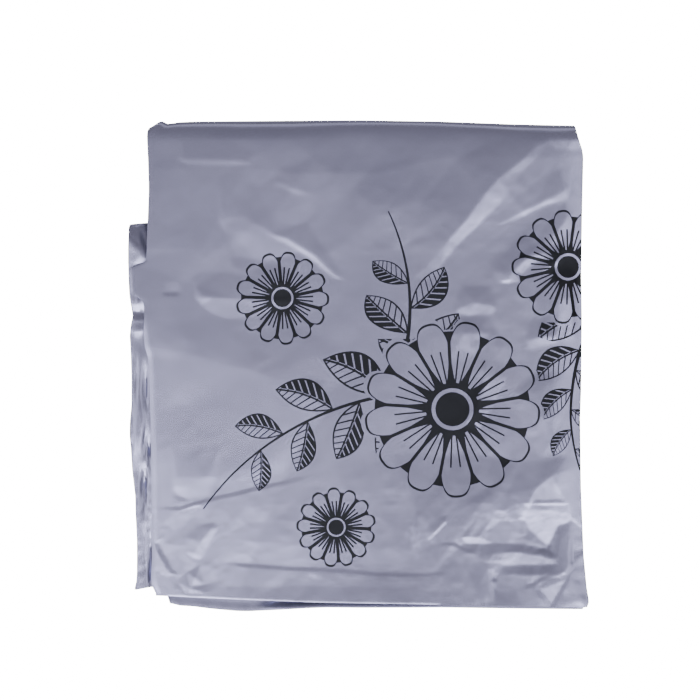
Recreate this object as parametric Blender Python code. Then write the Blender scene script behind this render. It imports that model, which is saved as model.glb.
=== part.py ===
"""A bicycle cover of thin plastic film, folded flat into a packet that lies on a table.

The cover is one sheet, 2.0 m long and 1.1 m high. It is folded back and forth in four along its
length, and the four leaves together are then folded once across its height, over the packet's top
end. The outermost leaf is the face. The leaves' hems and loose ends lie at the bottom end, and the
left side shows the back folds that stick out past the face. Tables are in millimetres, with X to the
right, Y to the folded-over end and Z up out of the face; the mesh is in metres.
"""

import math
from collections import namedtuple

import bmesh
import bpy

MM = 0.001

# Driving sizes of the cover and of its packet
COVER_LENGTH = 2000.0
COVER_HEIGHT = 1100.0
LEAVES = 4
SHEET = 1.1
LEAF_PITCH = 3.0
HALF_GAP = 1.5
FOLD_RADIUS = LEAF_PITCH / 2

LEAF_WIDTH = COVER_LENGTH / LEAVES
OUTER = HALF_GAP + (LEAVES - 1) * LEAF_PITCH

# The plain line that the hems lie near, and how far up from it each hem's own place still tells
HEM_LINE = 3.0 - COVER_HEIGHT / 4
HEM_REACH = 70.0

# How much thinner the packet is at its hems and loose ends, as a share of its height
HEM_PINCH = 0.24
SIDE_PINCH = 0.16
SIDE_REACH = 60.0

# The face's broad, slow swelling: its height and its two wave lengths, with where each wave starts
SWELL = 0.7
SWELL_ACROSS = 61.0
SWELL_ALONG = 74.0
SWELL_START = (0.6, 1.1)

# The left side of the face above the step where the back folds begin: there its loose end sinks
NOTCH_LINE = 163.0
DROOP_TOP = 222.0
DROOP_FADE = 18.0
DROOP_REACH = 11.0
DROOP = 4.5

# A fold bulges square to its line, whose slope is read this far above and below each point
SLOPE_STEP = 1.5

FOLD_STEPS = 4
TURN_STEPS = 8
LEAF_COLUMNS = (0.0, 0.05, 0.15, 0.38, 0.62, 0.88, 0.96, 1.0)
FACE_COLUMNS = (
    0.0, 0.015, 0.04, 0.09, 0.15, 0.21, 0.27, 0.33, 0.40, 0.47,
    0.54, 0.61, 0.67, 0.73, 0.79, 0.85, 0.90, 0.945, 0.98, 1.0,
)
FRONT_ROWS = (
    HEM_LINE, -258.0, -246.0, -234.0, -222.0, -206.0, -185.0, -165.0, -145.0, -120.0, -96.0,
    -70.0, -45.0, -12.0, 18.0, 34.0, 47.0, 57.0, 70.0, 82.0, 94.0, 106.0, 120.0, 140.0, 161.0,
    165.0, 186.0, 205.0, 224.0, 240.0, 254.0,
)
REAR_ROWS = (254.0, 230.0, 165.0, 161.0, 110.0, 57.0, 18.0, -45.0, -96.0, -170.0, -240.0, -258.0, HEM_LINE)

# Where each leaf's loose end or fold lies on the left, from the hems up.
# face_end: the face's loose end. face_back: the fold behind it. core_end: the first leaf's loose end.
# The same three follow for the lower half of the packet, which is folded under.
LeftRow = namedtuple("LeftRow", "y face_end face_back core_end under_core under_back under_end")
LEFT = (
    LeftRow(-275, -232.0, -248.0, -246.0, -245.0, -255.0, -217.0),
    LeftRow(-262, -233.0, -248.0, -251.0, -250.0, -256.0, -222.0),
    LeftRow(-252, -236.0, -248.0, -251.0, -252.0, -255.5, -232.0),
    LeftRow(-240, -237.0, -246.0, -249.0, -249.0, -251.5, -244.0),
    LeftRow(-220, -237.5, -247.0, -249.0, -249.5, -252.0, -248.0),
    LeftRow(-170, -238.0, -247.5, -250.5, -251.0, -254.0, -249.0),
    LeftRow(-150, -238.0, -249.0, -252.0, -253.0, -257.0, -251.0),
    LeftRow(-96, -238.0, -249.0, -254.5, -255.0, -259.0, -253.0),
    LeftRow(-72, -238.5, -250.0, -256.0, -256.5, -261.0, -254.0),
    LeftRow(-45, -238.5, -252.0, -254.0, -255.0, -257.0, -252.0),
    LeftRow(-12, -239.0, -252.0, -256.0, -256.5, -260.0, -254.0),
    LeftRow(18, -240.0, -253.5, -256.0, -257.0, -259.5, -255.0),
    LeftRow(34, -245.0, -256.0, -258.0, -258.5, -261.0, -256.0),
    LeftRow(47, -246.0, -255.0, -256.0, -256.5, -259.0, -254.0),
    LeftRow(57, -247.0, -254.0, -255.0, -255.5, -257.5, -253.0),
    LeftRow(70, -249.0, -255.0, -256.5, -257.0, -259.5, -254.0),
    LeftRow(80, -257.0, -256.0, -257.0, -258.0, -260.5, -255.0),
    LeftRow(92, -260.0, -257.0, -258.0, -258.5, -261.5, -256.0),
    LeftRow(104, -256.0, -257.5, -259.0, -259.5, -262.0, -257.0),
    LeftRow(114, -245.0, -258.0, -259.5, -260.0, -262.5, -257.0),
    LeftRow(136, -243.0, -258.0, -260.0, -260.5, -263.0, -257.0),
    LeftRow(161, -242.0, -256.0, -259.0, -259.5, -262.0, -256.0),
    LeftRow(165, -241.8, -227.0, -226.0, -226.5, -229.0, -231.0),
    LeftRow(203, -240.5, -226.0, -225.0, -226.0, -228.0, -230.0),
    LeftRow(238, -241.5, -227.0, -226.0, -226.0, -229.0, -232.0),
    LeftRow(268, -242.5, -237.0, -235.0, -235.0, -237.0, -238.0),
    LeftRow(283, -229.0, -226.0, -225.0, -225.0, -227.0, -227.0),
)

# The folds down the right side: the face's own, the first one inside it, and the same two below
RightRow = namedtuple("RightRow", "y face_fold core_fold under_core under_fold")
RIGHT = (
    RightRow(-279, 256.5, 253.5, 252.0, 254.0),
    RightRow(-272, 263.0, 258.0, 257.0, 259.5),
    RightRow(-255, 261.5, 256.0, 256.5, 258.0),
    RightRow(-218, 258.0, 253.5, 255.0, 255.0),
    RightRow(-140, 255.0, 251.5, 252.5, 253.5),
    RightRow(-61, 252.5, 249.5, 250.5, 251.5),
    RightRow(0, 254.0, 250.0, 252.0, 251.0),
    RightRow(56, 255.5, 251.0, 253.0, 252.5),
    RightRow(104, 254.0, 250.5, 251.5, 252.5),
    RightRow(173, 255.5, 252.0, 251.5, 253.0),
    RightRow(241, 256.0, 252.5, 252.0, 252.0),
    RightRow(248, 253.5, 251.0, 250.5, 250.5),
    RightRow(270, 247.0, 246.0, 245.5, 246.0),
    RightRow(283, 245.5, 244.5, 244.0, 244.5),
)

# Where each leaf's hem lies at the bottom end, from left to right: the face and the three leaves
# behind it, then the four leaves of the lower half, ending with the one on the table
HemRow = namedtuple("HemRow", "x face second third core under_core under_third under_second base")
HEMS = (
    HemRow(-264, -262.0, -251.0, -252.0, -253.0, -253.0, -254.0, -255.0, -272.0),
    HemRow(-238, -262.8, -251.0, -252.0, -254.0, -254.0, -251.0, -252.0, -272.0),
    HemRow(-217, -263.8, -259.0, -260.0, -261.0, -262.0, -261.0, -262.0, -274.5),
    HemRow(-198, -265.0, -261.0, -262.0, -262.0, -263.0, -264.0, -265.0, -275.5),
    HemRow(-155, -267.0, -263.0, -263.0, -264.0, -264.0, -265.0, -267.0, -280.0),
    HemRow(-127, -268.0, -264.0, -264.0, -265.0, -265.0, -266.0, -268.0, -282.5),
    HemRow(-96, -269.3, -265.0, -265.0, -266.0, -266.0, -268.0, -269.0, -280.0),
    HemRow(-67, -270.5, -266.0, -266.0, -267.0, -267.0, -269.0, -270.0, -278.0),
    HemRow(-37, -272.0, -268.0, -268.0, -268.0, -269.0, -270.0, -271.0, -276.5),
    HemRow(2, -273.0, -269.0, -270.0, -270.0, -271.0, -271.0, -273.0, -277.0),
    HemRow(94, -275.0, -271.0, -271.0, -272.0, -272.0, -273.0, -274.0, -276.0),
    HemRow(180, -276.6, -272.0, -273.0, -272.0, -273.0, -274.0, -275.0, -275.0),
    HemRow(258, -278.5, -277.5, -276.5, -275.5, -275.0, -275.0, -276.0, -275.0),
)

# The outline of the folded-over end, from left to right
TopRow = namedtuple("TopRow", "x y")
TOP = (
    TopRow(-244, 270.5), TopRow(-228, 281.5), TopRow(-216, 277.5), TopRow(-134, 281.0),
    TopRow(2, 282.5), TopRow(93, 281.0), TopRow(179, 277.5), TopRow(247, 278.0),
)

# Main creases of the face: a ridge, or a trough where its height is negative
Crease = namedtuple("Crease", "name x0 y0 x1 y1 half_width height")
CREASES = (
    Crease("long slanting ridge", 108, 150, 206, 250, 13, 4.0),
    Crease("hollow beside it", 84, 152, 142, 206, 12, -1.6),
    Crease("upper left ridge", -208, 235, -124, 234, 10, 1.6),
    Crease("slanting pull", -115, 162, -22, 97, 9, 1.8),
    Crease("blunt peak", -146, 156, -110, 140, 16, 1.6),
    Crease("curled crease", -186, 88, -150, 60, 10, 1.8),
    Crease("hollow above it", -180, 100, -85, 92, 12, -1.2),
    Crease("upper right hollow", 200, 205, 240, 180, 14, -1.4),
    Crease("right fan", 172, 100, 224, 125, 12, 2.0),
    Crease("right side pull", 222, 65, 246, 20, 14, 1.8),
    Crease("middle swell", 140, 5, 132, -62, 18, 1.6),
    Crease("right hollow", 165, -115, 196, -145, 16, -1.6),
    Crease("lower right facet", 198, -168, 228, -196, 15, 2.8),
    Crease("lower right crescent", 150, -232, 228, -222, 9, 2.6),
    Crease("hollow below it", 172, -236, 232, -236, 8, -1.2),
    Crease("hollow above the crescent", 130, -210, 222, -205, 9, -1.3),
    Crease("left valley", -232, -162, -63, -129, 9, -1.6),
    Crease("left swell", -218, -146, -172, -138, 13, 1.8),
    Crease("hem seam", -186, -226, 105, -237, 4, -0.5),
    Crease("small left triangle", -196, -246, -160, -236, 14, 1.6),
    Crease("lens near the hems", 64, -170, 66, -222, 8, 1.4),
)


def between(rows, column, at):
    """Read one column of a table at a place between its rows, in a straight line."""
    first = rows[0]
    if at <= first[0]:
        return getattr(first, column)
    for low, high in zip(rows, rows[1:]):
        if at <= high[0]:
            share = (at - low[0]) / (high[0] - low[0])
            return getattr(low, column) * (1 - share) + getattr(high, column) * share
    return getattr(rows[-1], column)


def ease(value):
    """Go smoothly from 0 to 1 as the value does."""
    value = min(1.0, max(0.0, value))
    return value * value * (3 - 2 * value)


def crease_height(crease, x, y):
    """The rise that one crease gives a point: full on its line, fading across it and past its ends."""
    along_x = crease.x1 - crease.x0
    along_y = crease.y1 - crease.y0
    share = ((x - crease.x0) * along_x + (y - crease.y0) * along_y) / (along_x**2 + along_y**2)
    share = min(1.0, max(0.0, share))
    away = math.hypot(x - crease.x0 - share * along_x, y - crease.y0 - share * along_y)
    return crease.height * math.exp(-((away / crease.half_width) ** 2))


def face_relief(x, y):
    """The face's unevenness at a point, in millimetres above its plain level."""
    swell = math.sin(x / SWELL_ACROSS + SWELL_START[0]) * math.sin(y / SWELL_ALONG + SWELL_START[1])
    return SWELL * swell + sum(crease_height(crease, x, y) for crease in CREASES)


def pinch(x, y):
    """The share of the full height that the stack of leaves keeps at a point."""
    hems = HEM_PINCH * (1 - ease((y - HEM_LINE) / HEM_REACH))
    left = SIDE_PINCH * (1 - ease((x + LEAF_WIDTH / 2) / SIDE_REACH))
    right = SIDE_PINCH * (1 - ease((LEAF_WIDTH / 2 - x) / SIDE_REACH))
    return 1 - hems - left - right


# A column of the sheet: the leaf it is on (0 is the core, 3 the face, and a half between two leaves is
# their fold), its share of the way from the left side to the right, its level and how far it bulges
Column = namedtuple("Column", "leaf across level bulge")


def sheet_columns():
    """The sheet's columns along its length, leaf by leaf, with the folds between them."""
    columns = []
    for leaf in range(LEAVES):
        shares = FACE_COLUMNS if leaf == LEAVES - 1 else LEAF_COLUMNS
        rightward = leaf % 2 == 0
        for share in shares if rightward else reversed(shares):
            columns.append(Column(leaf, share, leaf * LEAF_PITCH, 0.0))
        if leaf < LEAVES - 1:
            side = 1.0 if rightward else 0.0
            for step in range(1, FOLD_STEPS):
                angle = math.pi * (step / FOLD_STEPS - 0.5)
                level = (leaf + 0.5) * LEAF_PITCH + FOLD_RADIUS * math.sin(angle)
                bulge = FOLD_RADIUS * math.cos(angle) * (1 if rightward else -1)
                columns.append(Column(leaf + 0.5, side, level, bulge))
    return columns


# A row of the sheet: its place along Y and the angle it has turned over the top end, 0 on the face's
# half and pi on the lower half
Row = namedtuple("Row", "y angle")


def sheet_rows():
    """The sheet's rows along its height, from the face's hem over the top end to the lower hem."""
    rows = [Row(y, 0.0) for y in FRONT_ROWS]
    rows += [Row(FRONT_ROWS[-1], math.pi * step / TURN_STEPS) for step in range(1, TURN_STEPS)]
    return rows + [Row(y, math.pi) for y in REAR_ROWS]


def side_columns(column):
    """The names of the table columns that bound a leaf on the left and right, in each half."""
    if column.leaf >= LEAVES - 1:
        return ("face_end", "under_end", "face_fold", "under_fold")
    if column.leaf > 1:
        return ("face_back", "under_back", "face_fold", "under_fold")
    if column.leaf > 0.5:
        return ("face_back", "under_back", "core_fold", "under_core")
    return ("core_end", "under_core", "core_fold", "under_core")


def side_places(column, turned, y):
    """Where a leaf starts on the left and ends on the right at a height, part way round the turn."""
    left_front, left_under, right_front, right_under = side_columns(column)
    left = between(LEFT, left_front, y) * (1 - turned) + between(LEFT, left_under, y) * turned
    right = between(RIGHT, right_front, y) * (1 - turned) + between(RIGHT, right_under, y) * turned
    return left, right


HEM_NAMES = (("core", "under_core"), ("third", "under_third"), ("second", "under_second"), ("face", "base"))


def hem_place(column, x, lower):
    """Where a leaf's hem lies at a place across the packet; a fold's lies between its leaves'."""
    whole = int(column.leaf)
    names = [HEM_NAMES[whole][lower]]
    if column.leaf > whole:
        names.append(HEM_NAMES[whole + 1][lower])
    return sum(between(HEMS, name, x) for name in names) / len(names)


def point_on_sheet(column, row):
    """The place of one point of the sheet's middle surface, in millimetres."""
    lower = row.angle > math.pi / 2
    plain_x = (column.across - 0.5) * LEAF_WIDTH
    reach = HALF_GAP + column.level
    end = between(TOP, "y", plain_x)
    turn_line = FRONT_ROWS[-1]
    y = row.y
    if 0 < row.angle < math.pi:
        y = turn_line + (end - turn_line - SHEET / 2) * math.sin(row.angle) * (reach / OUTER)
    hem_share = 1 - ease((row.y - HEM_LINE) / HEM_REACH)
    y += (hem_place(column, plain_x, lower) - HEM_LINE) * hem_share
    turned = (1 - math.cos(row.angle)) / 2
    left, right = side_places(column, turned, y)
    x = left + (right - left) * column.across
    if column.bulge:
        ahead = side_places(column, turned, y + SLOPE_STEP)
        astern = side_places(column, turned, y - SLOPE_STEP)
        side = 0 if column.bulge < 0 else 1
        slope = (ahead[side] - astern[side]) / (2 * SLOPE_STEP)
        x += column.bulge / math.hypot(1, slope)
        y -= column.bulge * slope / math.hypot(1, slope)
    upper_share = max(0.0, math.cos(row.angle))
    depth = (reach / OUTER) ** 2
    loft = 1 - (1 - pinch(x, y)) * upper_share
    z = reach * math.cos(row.angle) * loft + face_relief(x, y) * depth * upper_share
    return x, y, z


def end_droop(column, row, x, y):
    """How far the face's loose end on the left sinks towards the table, where nothing holds it up."""
    if column.leaf < LEAVES - 1 or row.angle > 0:
        return 0.0
    beyond = 1 - ease((x - between(LEFT, "face_end", y)) / DROOP_REACH)
    free = ease((y - NOTCH_LINE) / DROOP_FADE) * (1 - ease((y - DROOP_TOP) / DROOP_FADE))
    return DROOP * beyond * free


def build_sheet():
    """Make the folded sheet's middle surface as a mesh object, centred on its own outline."""
    columns = sheet_columns()
    rows = sheet_rows()
    places = []
    for row in rows:
        for column in columns:
            x, y, z = point_on_sheet(column, row)
            places.append((x, y, z - end_droop(column, row, x, y)))
    middle_x = (min(p[0] for p in places) + max(p[0] for p in places)) / 2
    middle_y = (min(p[1] for p in places) + max(p[1] for p in places)) / 2
    floor = -OUTER - SHEET / 2
    grid = bmesh.new()
    points = [grid.verts.new(((x - middle_x) * MM, (y - middle_y) * MM, (z - floor) * MM)) for x, y, z in places]
    width = len(columns)
    for i in range(len(rows) - 1):
        for j in range(width - 1):
            corner = i * width + j
            grid.faces.new([points[corner + k] for k in (0, 1, width + 1, width)])
    mesh = bpy.data.meshes.new("cover_sheet")
    grid.to_mesh(mesh)
    grid.free()
    sheet = bpy.data.objects.new("cover_sheet", mesh)
    bpy.context.scene.collection.objects.link(sheet)
    return sheet


def thicken(sheet):
    """Give the sheet its thickness, half on each side of its middle surface."""
    wall = sheet.modifiers.new("film", "SOLIDIFY")
    wall.thickness = SHEET * MM
    wall.offset = 0.0
    wall.use_even_offset = True
    wall.use_rim = True


def film_material():
    """Satin grey-lavender film."""
    film = bpy.data.materials.new("satin_film")
    film.use_nodes = True
    shader = film.node_tree.nodes["Principled BSDF"]
    shader.inputs["Base Color"].default_value = (0.33, 0.33, 0.43, 1.0)
    shader.inputs["Roughness"].default_value = 0.42
    shader.inputs["Metallic"].default_value = 0.0
    return film


def main():
    """Empty the scene and build the cover."""
    for thing in list(bpy.data.objects):
        bpy.data.objects.remove(thing)
    sheet = build_sheet()
    thicken(sheet)
    sheet.data.materials.append(film_material())


main()
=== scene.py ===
"""A bicycle cover of satin plastic film, folded flat into a soft packet that lies on a pale table.

The cover is one sheet of film, 2.0 m by 1.1 m. It is folded back and forth in four along its length, and
the four leaves together are folded once across its height, over the packet's top end. Tables are in
millimetres: X to the right, Y to the folded-over end and Z up out of the face. Meshes are in metres.
"""

import logging
import math
from collections.abc import Callable
from dataclasses import dataclass, field
from enum import Enum
from typing import NamedTuple

import bpy
import numpy as np
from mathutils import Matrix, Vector, noise
from mathutils.geometry import delaunay_2d_cdt


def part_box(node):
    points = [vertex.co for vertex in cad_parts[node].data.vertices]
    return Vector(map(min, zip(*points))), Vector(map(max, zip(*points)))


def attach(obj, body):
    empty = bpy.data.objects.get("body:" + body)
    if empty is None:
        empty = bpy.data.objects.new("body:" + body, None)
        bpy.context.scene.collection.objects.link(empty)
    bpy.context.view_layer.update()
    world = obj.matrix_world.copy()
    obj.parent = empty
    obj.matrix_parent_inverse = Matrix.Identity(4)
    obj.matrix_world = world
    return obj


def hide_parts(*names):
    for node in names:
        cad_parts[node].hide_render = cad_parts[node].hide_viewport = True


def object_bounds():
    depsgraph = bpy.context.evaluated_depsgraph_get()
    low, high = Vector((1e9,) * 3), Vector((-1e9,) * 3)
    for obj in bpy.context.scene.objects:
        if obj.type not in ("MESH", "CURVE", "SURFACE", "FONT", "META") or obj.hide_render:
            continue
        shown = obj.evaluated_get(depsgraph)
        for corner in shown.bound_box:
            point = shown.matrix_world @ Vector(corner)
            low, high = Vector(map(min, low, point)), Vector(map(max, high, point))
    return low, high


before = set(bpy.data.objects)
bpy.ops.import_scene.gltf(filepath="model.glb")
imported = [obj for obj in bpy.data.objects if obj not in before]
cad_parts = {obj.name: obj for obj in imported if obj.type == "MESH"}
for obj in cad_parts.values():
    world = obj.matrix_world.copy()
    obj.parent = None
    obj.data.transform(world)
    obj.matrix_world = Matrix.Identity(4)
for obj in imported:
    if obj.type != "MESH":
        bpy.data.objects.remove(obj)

CAD_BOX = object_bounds()
MM = 0.001

log = logging.getLogger("folded_cover")


# ---------------------------------------------------------------- small tools


def ease(value: np.ndarray) -> np.ndarray:
    """Go smoothly from 0 to 1 as the value does."""
    share = np.clip(value, 0.0, 1.0)
    return share * share * (3 - 2 * share)


def soft_positive(value: np.ndarray, softness: float) -> np.ndarray:
    """Return the value where it is positive and 0 elsewhere, with a rounded corner between."""
    return (value + np.sqrt(value * value + softness * softness)) / 2


class Slope(NamedTuple):
    """A smooth change from 0 to 1: where it starts, and how far on, or back if negative, it is done."""

    start: float
    reach: float

    def at(self, place: np.ndarray) -> np.ndarray:
        """Say how far the change has got at each place."""
        return ease((place - self.start) / self.reach)


def nearness(distance: np.ndarray, reach: float) -> np.ndarray:
    """Fall from 1 at no distance to 0 at the reach, ever more gently."""
    return np.clip(1 - distance / reach, 0, 1) ** 2


def linear(hex_colour: str) -> tuple[float, float, float, float]:
    """Turn an sRGB colour such as "#8899aa" into the linear one that a shader takes.

    Args:
        hex_colour: The colour as six hex digits after a hash.

    Returns:
        The linear red, green and blue, and an alpha of 1.
    """
    parts = [int(hex_colour[i : i + 2], 16) / 255 for i in (1, 3, 5)]
    red, green, blue = (p / 12.92 if p <= 0.04045 else ((p + 0.055) / 1.055) ** 2.4 for p in parts)
    return red, green, blue, 1.0


def add_node(
    tree: bpy.types.NodeTree,
    kind: str,
    settings: dict[str, object] | None = None,
    inputs: dict[int | str, object] | None = None,
) -> bpy.types.Node:
    """Add one shader node with its settings, and set or link its inputs.

    Args:
        tree: The node tree to add to.
        kind: The node's type, without the "ShaderNode" in front.
        settings: Values for the node's own properties.
        inputs: For each input by name or number, the socket that feeds it or the value it holds.

    Returns:
        The new node.
    """
    node = tree.nodes.new("ShaderNode" + kind)
    for name, value in (settings or {}).items():
        setattr(node, name, value)
    for key, value in (inputs or {}).items():
        if isinstance(value, bpy.types.NodeSocket):
            tree.links.new(value, node.inputs[key])
        else:
            node.inputs[key].default_value = value
    return node


def calculate(
    tree: bpy.types.NodeTree, operation: str, *terms: bpy.types.NodeSocket | float
) -> bpy.types.NodeSocket:
    """Add one Math node.

    Args:
        tree: The node tree to add to.
        operation: What the node does.
        terms: The sockets or numbers that it does it to.

    Returns:
        Its result.
    """
    return add_node(tree, "Math", {"operation": operation}, dict(enumerate(terms))).outputs[0]


# The numbers of a Mix node's two inputs and of its output, for each kind of value.
MIX_PORTS = {"FLOAT": (2, 3, 0), "VECTOR": (4, 5, 1), "RGBA": (6, 7, 2)}


def mix(
    tree: bpy.types.NodeTree,
    share: bpy.types.NodeSocket,
    first: object,
    second: object,
    kind: str = "FLOAT",
) -> bpy.types.NodeSocket:
    """Add one Mix node.

    Args:
        tree: The node tree to add to.
        share: How much of the second value there is, from 0 to 1.
        first: The first value, or the socket that gives it.
        second: The second value, or the socket that gives it.
        kind: What is mixed, a key of MIX_PORTS.

    Returns:
        The mixed value.
    """
    low, high, out = MIX_PORTS[kind]
    inputs = {0: share, low: first, high: second}
    return add_node(tree, "Mix", {"data_type": kind}, inputs).outputs[out]


class NoiseLayer(Enum):
    """The layers of smooth noise, all different, that the film's small irregularities read."""

    WANDER_X = 3.7
    WANDER_Y = 11.2
    RIDGES = 21.4
    FINE = 5.9
    PLEAT_WANDER = 8.1
    PLEAT_RIDGES = 2.3
    LIP = 40.3


def noise_field(x: np.ndarray, y: np.ndarray, wave: float, layer: NoiseLayer) -> np.ndarray:
    """Read smooth noise at many points.

    Args:
        x: The points' X in millimetres.
        y: The points' Y in millimetres.
        wave: The length of one wave of the noise in millimetres.
        layer: Which layer of the noise to read.

    Returns:
        Values from about -1 to 1, one for each point.
    """
    flat = [
        noise.noise(Vector((float(a) / wave, float(b) / wave, layer.value)))
        for a, b in zip(x.ravel(), y.ravel())
    ]
    return np.array(flat).reshape(x.shape)


def ridged_noise(x: np.ndarray, y: np.ndarray, wave: float, layer: NoiseLayer) -> np.ndarray:
    """Read noise that has sharp crests, from about -0.5 to 0.5."""
    return 0.5 - np.abs(noise_field(x, y, wave, layer))


# ---------------------------------------------------------------- creases


class Taper(Enum):
    """How a crease ends."""

    FADE = "the ridge keeps its width and gets lower"
    NARROW = "the ridge gets lower and narrower together, as a facet's point does"


@dataclass(frozen=True)
class Crease:
    """One ridge of the film, or a trough where its height is negative, in millimetres.

    It runs from the first point to the last. Left and right are the widths of its two flanks, as seen by
    somebody who walks from its start to its end. Peak is the share of its length where it is highest.
    """

    name: str
    x0: float
    y0: float
    x1: float
    y1: float
    height: float
    left: float
    right: float
    peak: float = 0.5
    taper: Taper = Taper.FADE

    CREST = 1.3
    FOOT = 0.07

    def rise(self, x: np.ndarray, y: np.ndarray) -> np.ndarray:
        """Work out how far this crease lifts each point.

        Args:
            x: The points' X.
            y: The points' Y.

        Returns:
            The lift of each point.
        """
        length = math.hypot(self.x1 - self.x0, self.y1 - self.y0)
        ahead_x = (self.x1 - self.x0) / length
        ahead_y = (self.y1 - self.y0) / length
        along = ((x - self.x0) * ahead_x + (y - self.y0) * ahead_y) / length
        away = (y - self.y0) * ahead_x - (x - self.x0) * ahead_y
        flank = np.where(away > 0, self.left, self.right)
        across = (np.sqrt(away * away + self.CREST**2) - self.CREST) / flank
        ends = np.minimum(along / self.peak, (1 - along) / (1 - self.peak))
        if self.taper is Taper.NARROW:
            return self.height * soft_positive(np.minimum(ends, 1.0) - across, self.FOOT)
        return self.height * ease(ends) * soft_positive(1 - across, self.FOOT)


# One point of a fold line in millimetres: X, Y and how high the film stands there, which is left out where
# the film lies plain.
Spot = tuple[float, ...]
Line = tuple[Spot, ...]

# Points nearer than this are one point, and triangles with less area than this are none.
SAME_SPOT = 0.001
NO_AREA = 1e-9


def triangle_heights(
    spots: np.ndarray, edges: list[tuple[int, int]], x: np.ndarray, y: np.ndarray
) -> np.ndarray:
    """Stretch flat triangles over some points and read their height at many places.

    Args:
        spots: The points, one row of X, Y and height each.
        edges: Pairs of points that a triangle's edge has to join.
        x: The places' X.
        y: The places' Y.

    Returns:
        The height at each place, and 0 outside all triangles.
    """
    flat_spots = [Vector((px, py)) for px, py, _ in spots.tolist()]
    corners, _, triangles, origins, _, _ = delaunay_2d_cdt(flat_spots, edges, [], 0, SAME_SPOT)
    heights = []
    for corner, origin in zip(corners, origins):
        away = np.hypot(spots[:, 0] - corner.x, spots[:, 1] - corner.y)
        nearest = origin[0] if origin else int(np.argmin(away))
        heights.append(float(spots[nearest, 2]))
    # The places are sorted by Y, so that each triangle looks only at those of its own height.
    by_y = np.argsort(y, axis=None, kind="stable")
    flat_x, flat_y = x.ravel()[by_y], y.ravel()[by_y]
    found = np.zeros(len(by_y))
    for triangle in triangles:
        a, b, c = (corners[k] for k in triangle)
        area = (b.x - a.x) * (c.y - a.y) - (c.x - a.x) * (b.y - a.y)
        if abs(area) < NO_AREA:
            continue
        first, last = np.searchsorted(flat_y, (min(a.y, b.y, c.y), max(a.y, b.y, c.y)))
        dx, dy = flat_x[first:last] - a.x, flat_y[first:last] - a.y
        to_b = (dx * (c.y - a.y) - (c.x - a.x) * dy) / area
        to_c = ((b.x - a.x) * dy - dx * (b.y - a.y)) / area
        inside = (to_b >= 0) & (to_c >= 0) & (to_b + to_c <= 1)
        height_a, height_b, height_c = (heights[k] for k in triangle)
        flat = height_a + to_b * (height_b - height_a) + to_c * (height_c - height_a)
        found[first:last][inside] = flat[inside]
    heights_back = np.empty_like(found)
    heights_back[by_y] = found
    return heights_back.reshape(x.shape)


@dataclass(frozen=True)
class Crumple:
    """One place where the film is folded into flat facets, inside a closed edge where it lies plain.

    The folds are the lines along which two facets meet. On a line's lower side in the table's Y, a ridge
    has the facet that catches the light, and the width of each facet is the way from line to line.
    """

    name: str
    edge: Line
    folds: tuple[Line, ...] = ()

    def rise(self, x: np.ndarray, y: np.ndarray) -> np.ndarray:
        """Work out how far this crumple lifts each point.

        Args:
            x: The points' X.
            y: The points' Y.

        Returns:
            The lift of each point.
        """
        spots: list[Spot] = []
        edges: list[tuple[int, int]] = []
        for line in (self.edge + self.edge[:1], *self.folds):
            numbers = []
            for px, py, *height in line:
                spot = (px, py, height[0] if height else 0.0)
                if spot not in spots:
                    spots.append(spot)
                numbers.append(spots.index(spot))
            edges += [(a, b) for a, b in zip(numbers, numbers[1:]) if a != b]
        return triangle_heights(np.array(spots), edges, x, y)


@dataclass(frozen=True)
class LooseFacets:
    """Shallow flat facets all over the film, of one average width, in no particular order.

    They are longer along one slanting direction, in which the film was pulled.
    """

    width: float
    depth: float
    seed: int
    stretch: float

    REACH = 460.0
    JITTER = 0.42

    def rise(self, x: np.ndarray, y: np.ndarray) -> np.ndarray:
        """Work out how far the facets lift each point.

        Args:
            x: The points' X.
            y: The points' Y.

        Returns:
            The lift of each point.
        """
        dice = np.random.default_rng(self.seed)
        along = (x + y) / math.sqrt(2) / self.stretch
        across = (y - x) / math.sqrt(2)
        steps = np.arange(-self.REACH, self.REACH, self.width)
        grid_a, grid_b = np.meshgrid(steps, steps)
        jitter = dice.uniform(-self.JITTER, self.JITTER, (2, *grid_a.shape)) * self.width
        height = dice.normal(0.0, self.depth, grid_a.shape)
        columns = ((grid_a + jitter[0]).ravel(), (grid_b + jitter[1]).ravel(), height.ravel())
        return triangle_heights(np.stack(columns, axis=-1), [], along, across)


# How much of the crumples' and loose facets' typed height is built.
CREASE_DEPTH = 0.8

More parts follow.
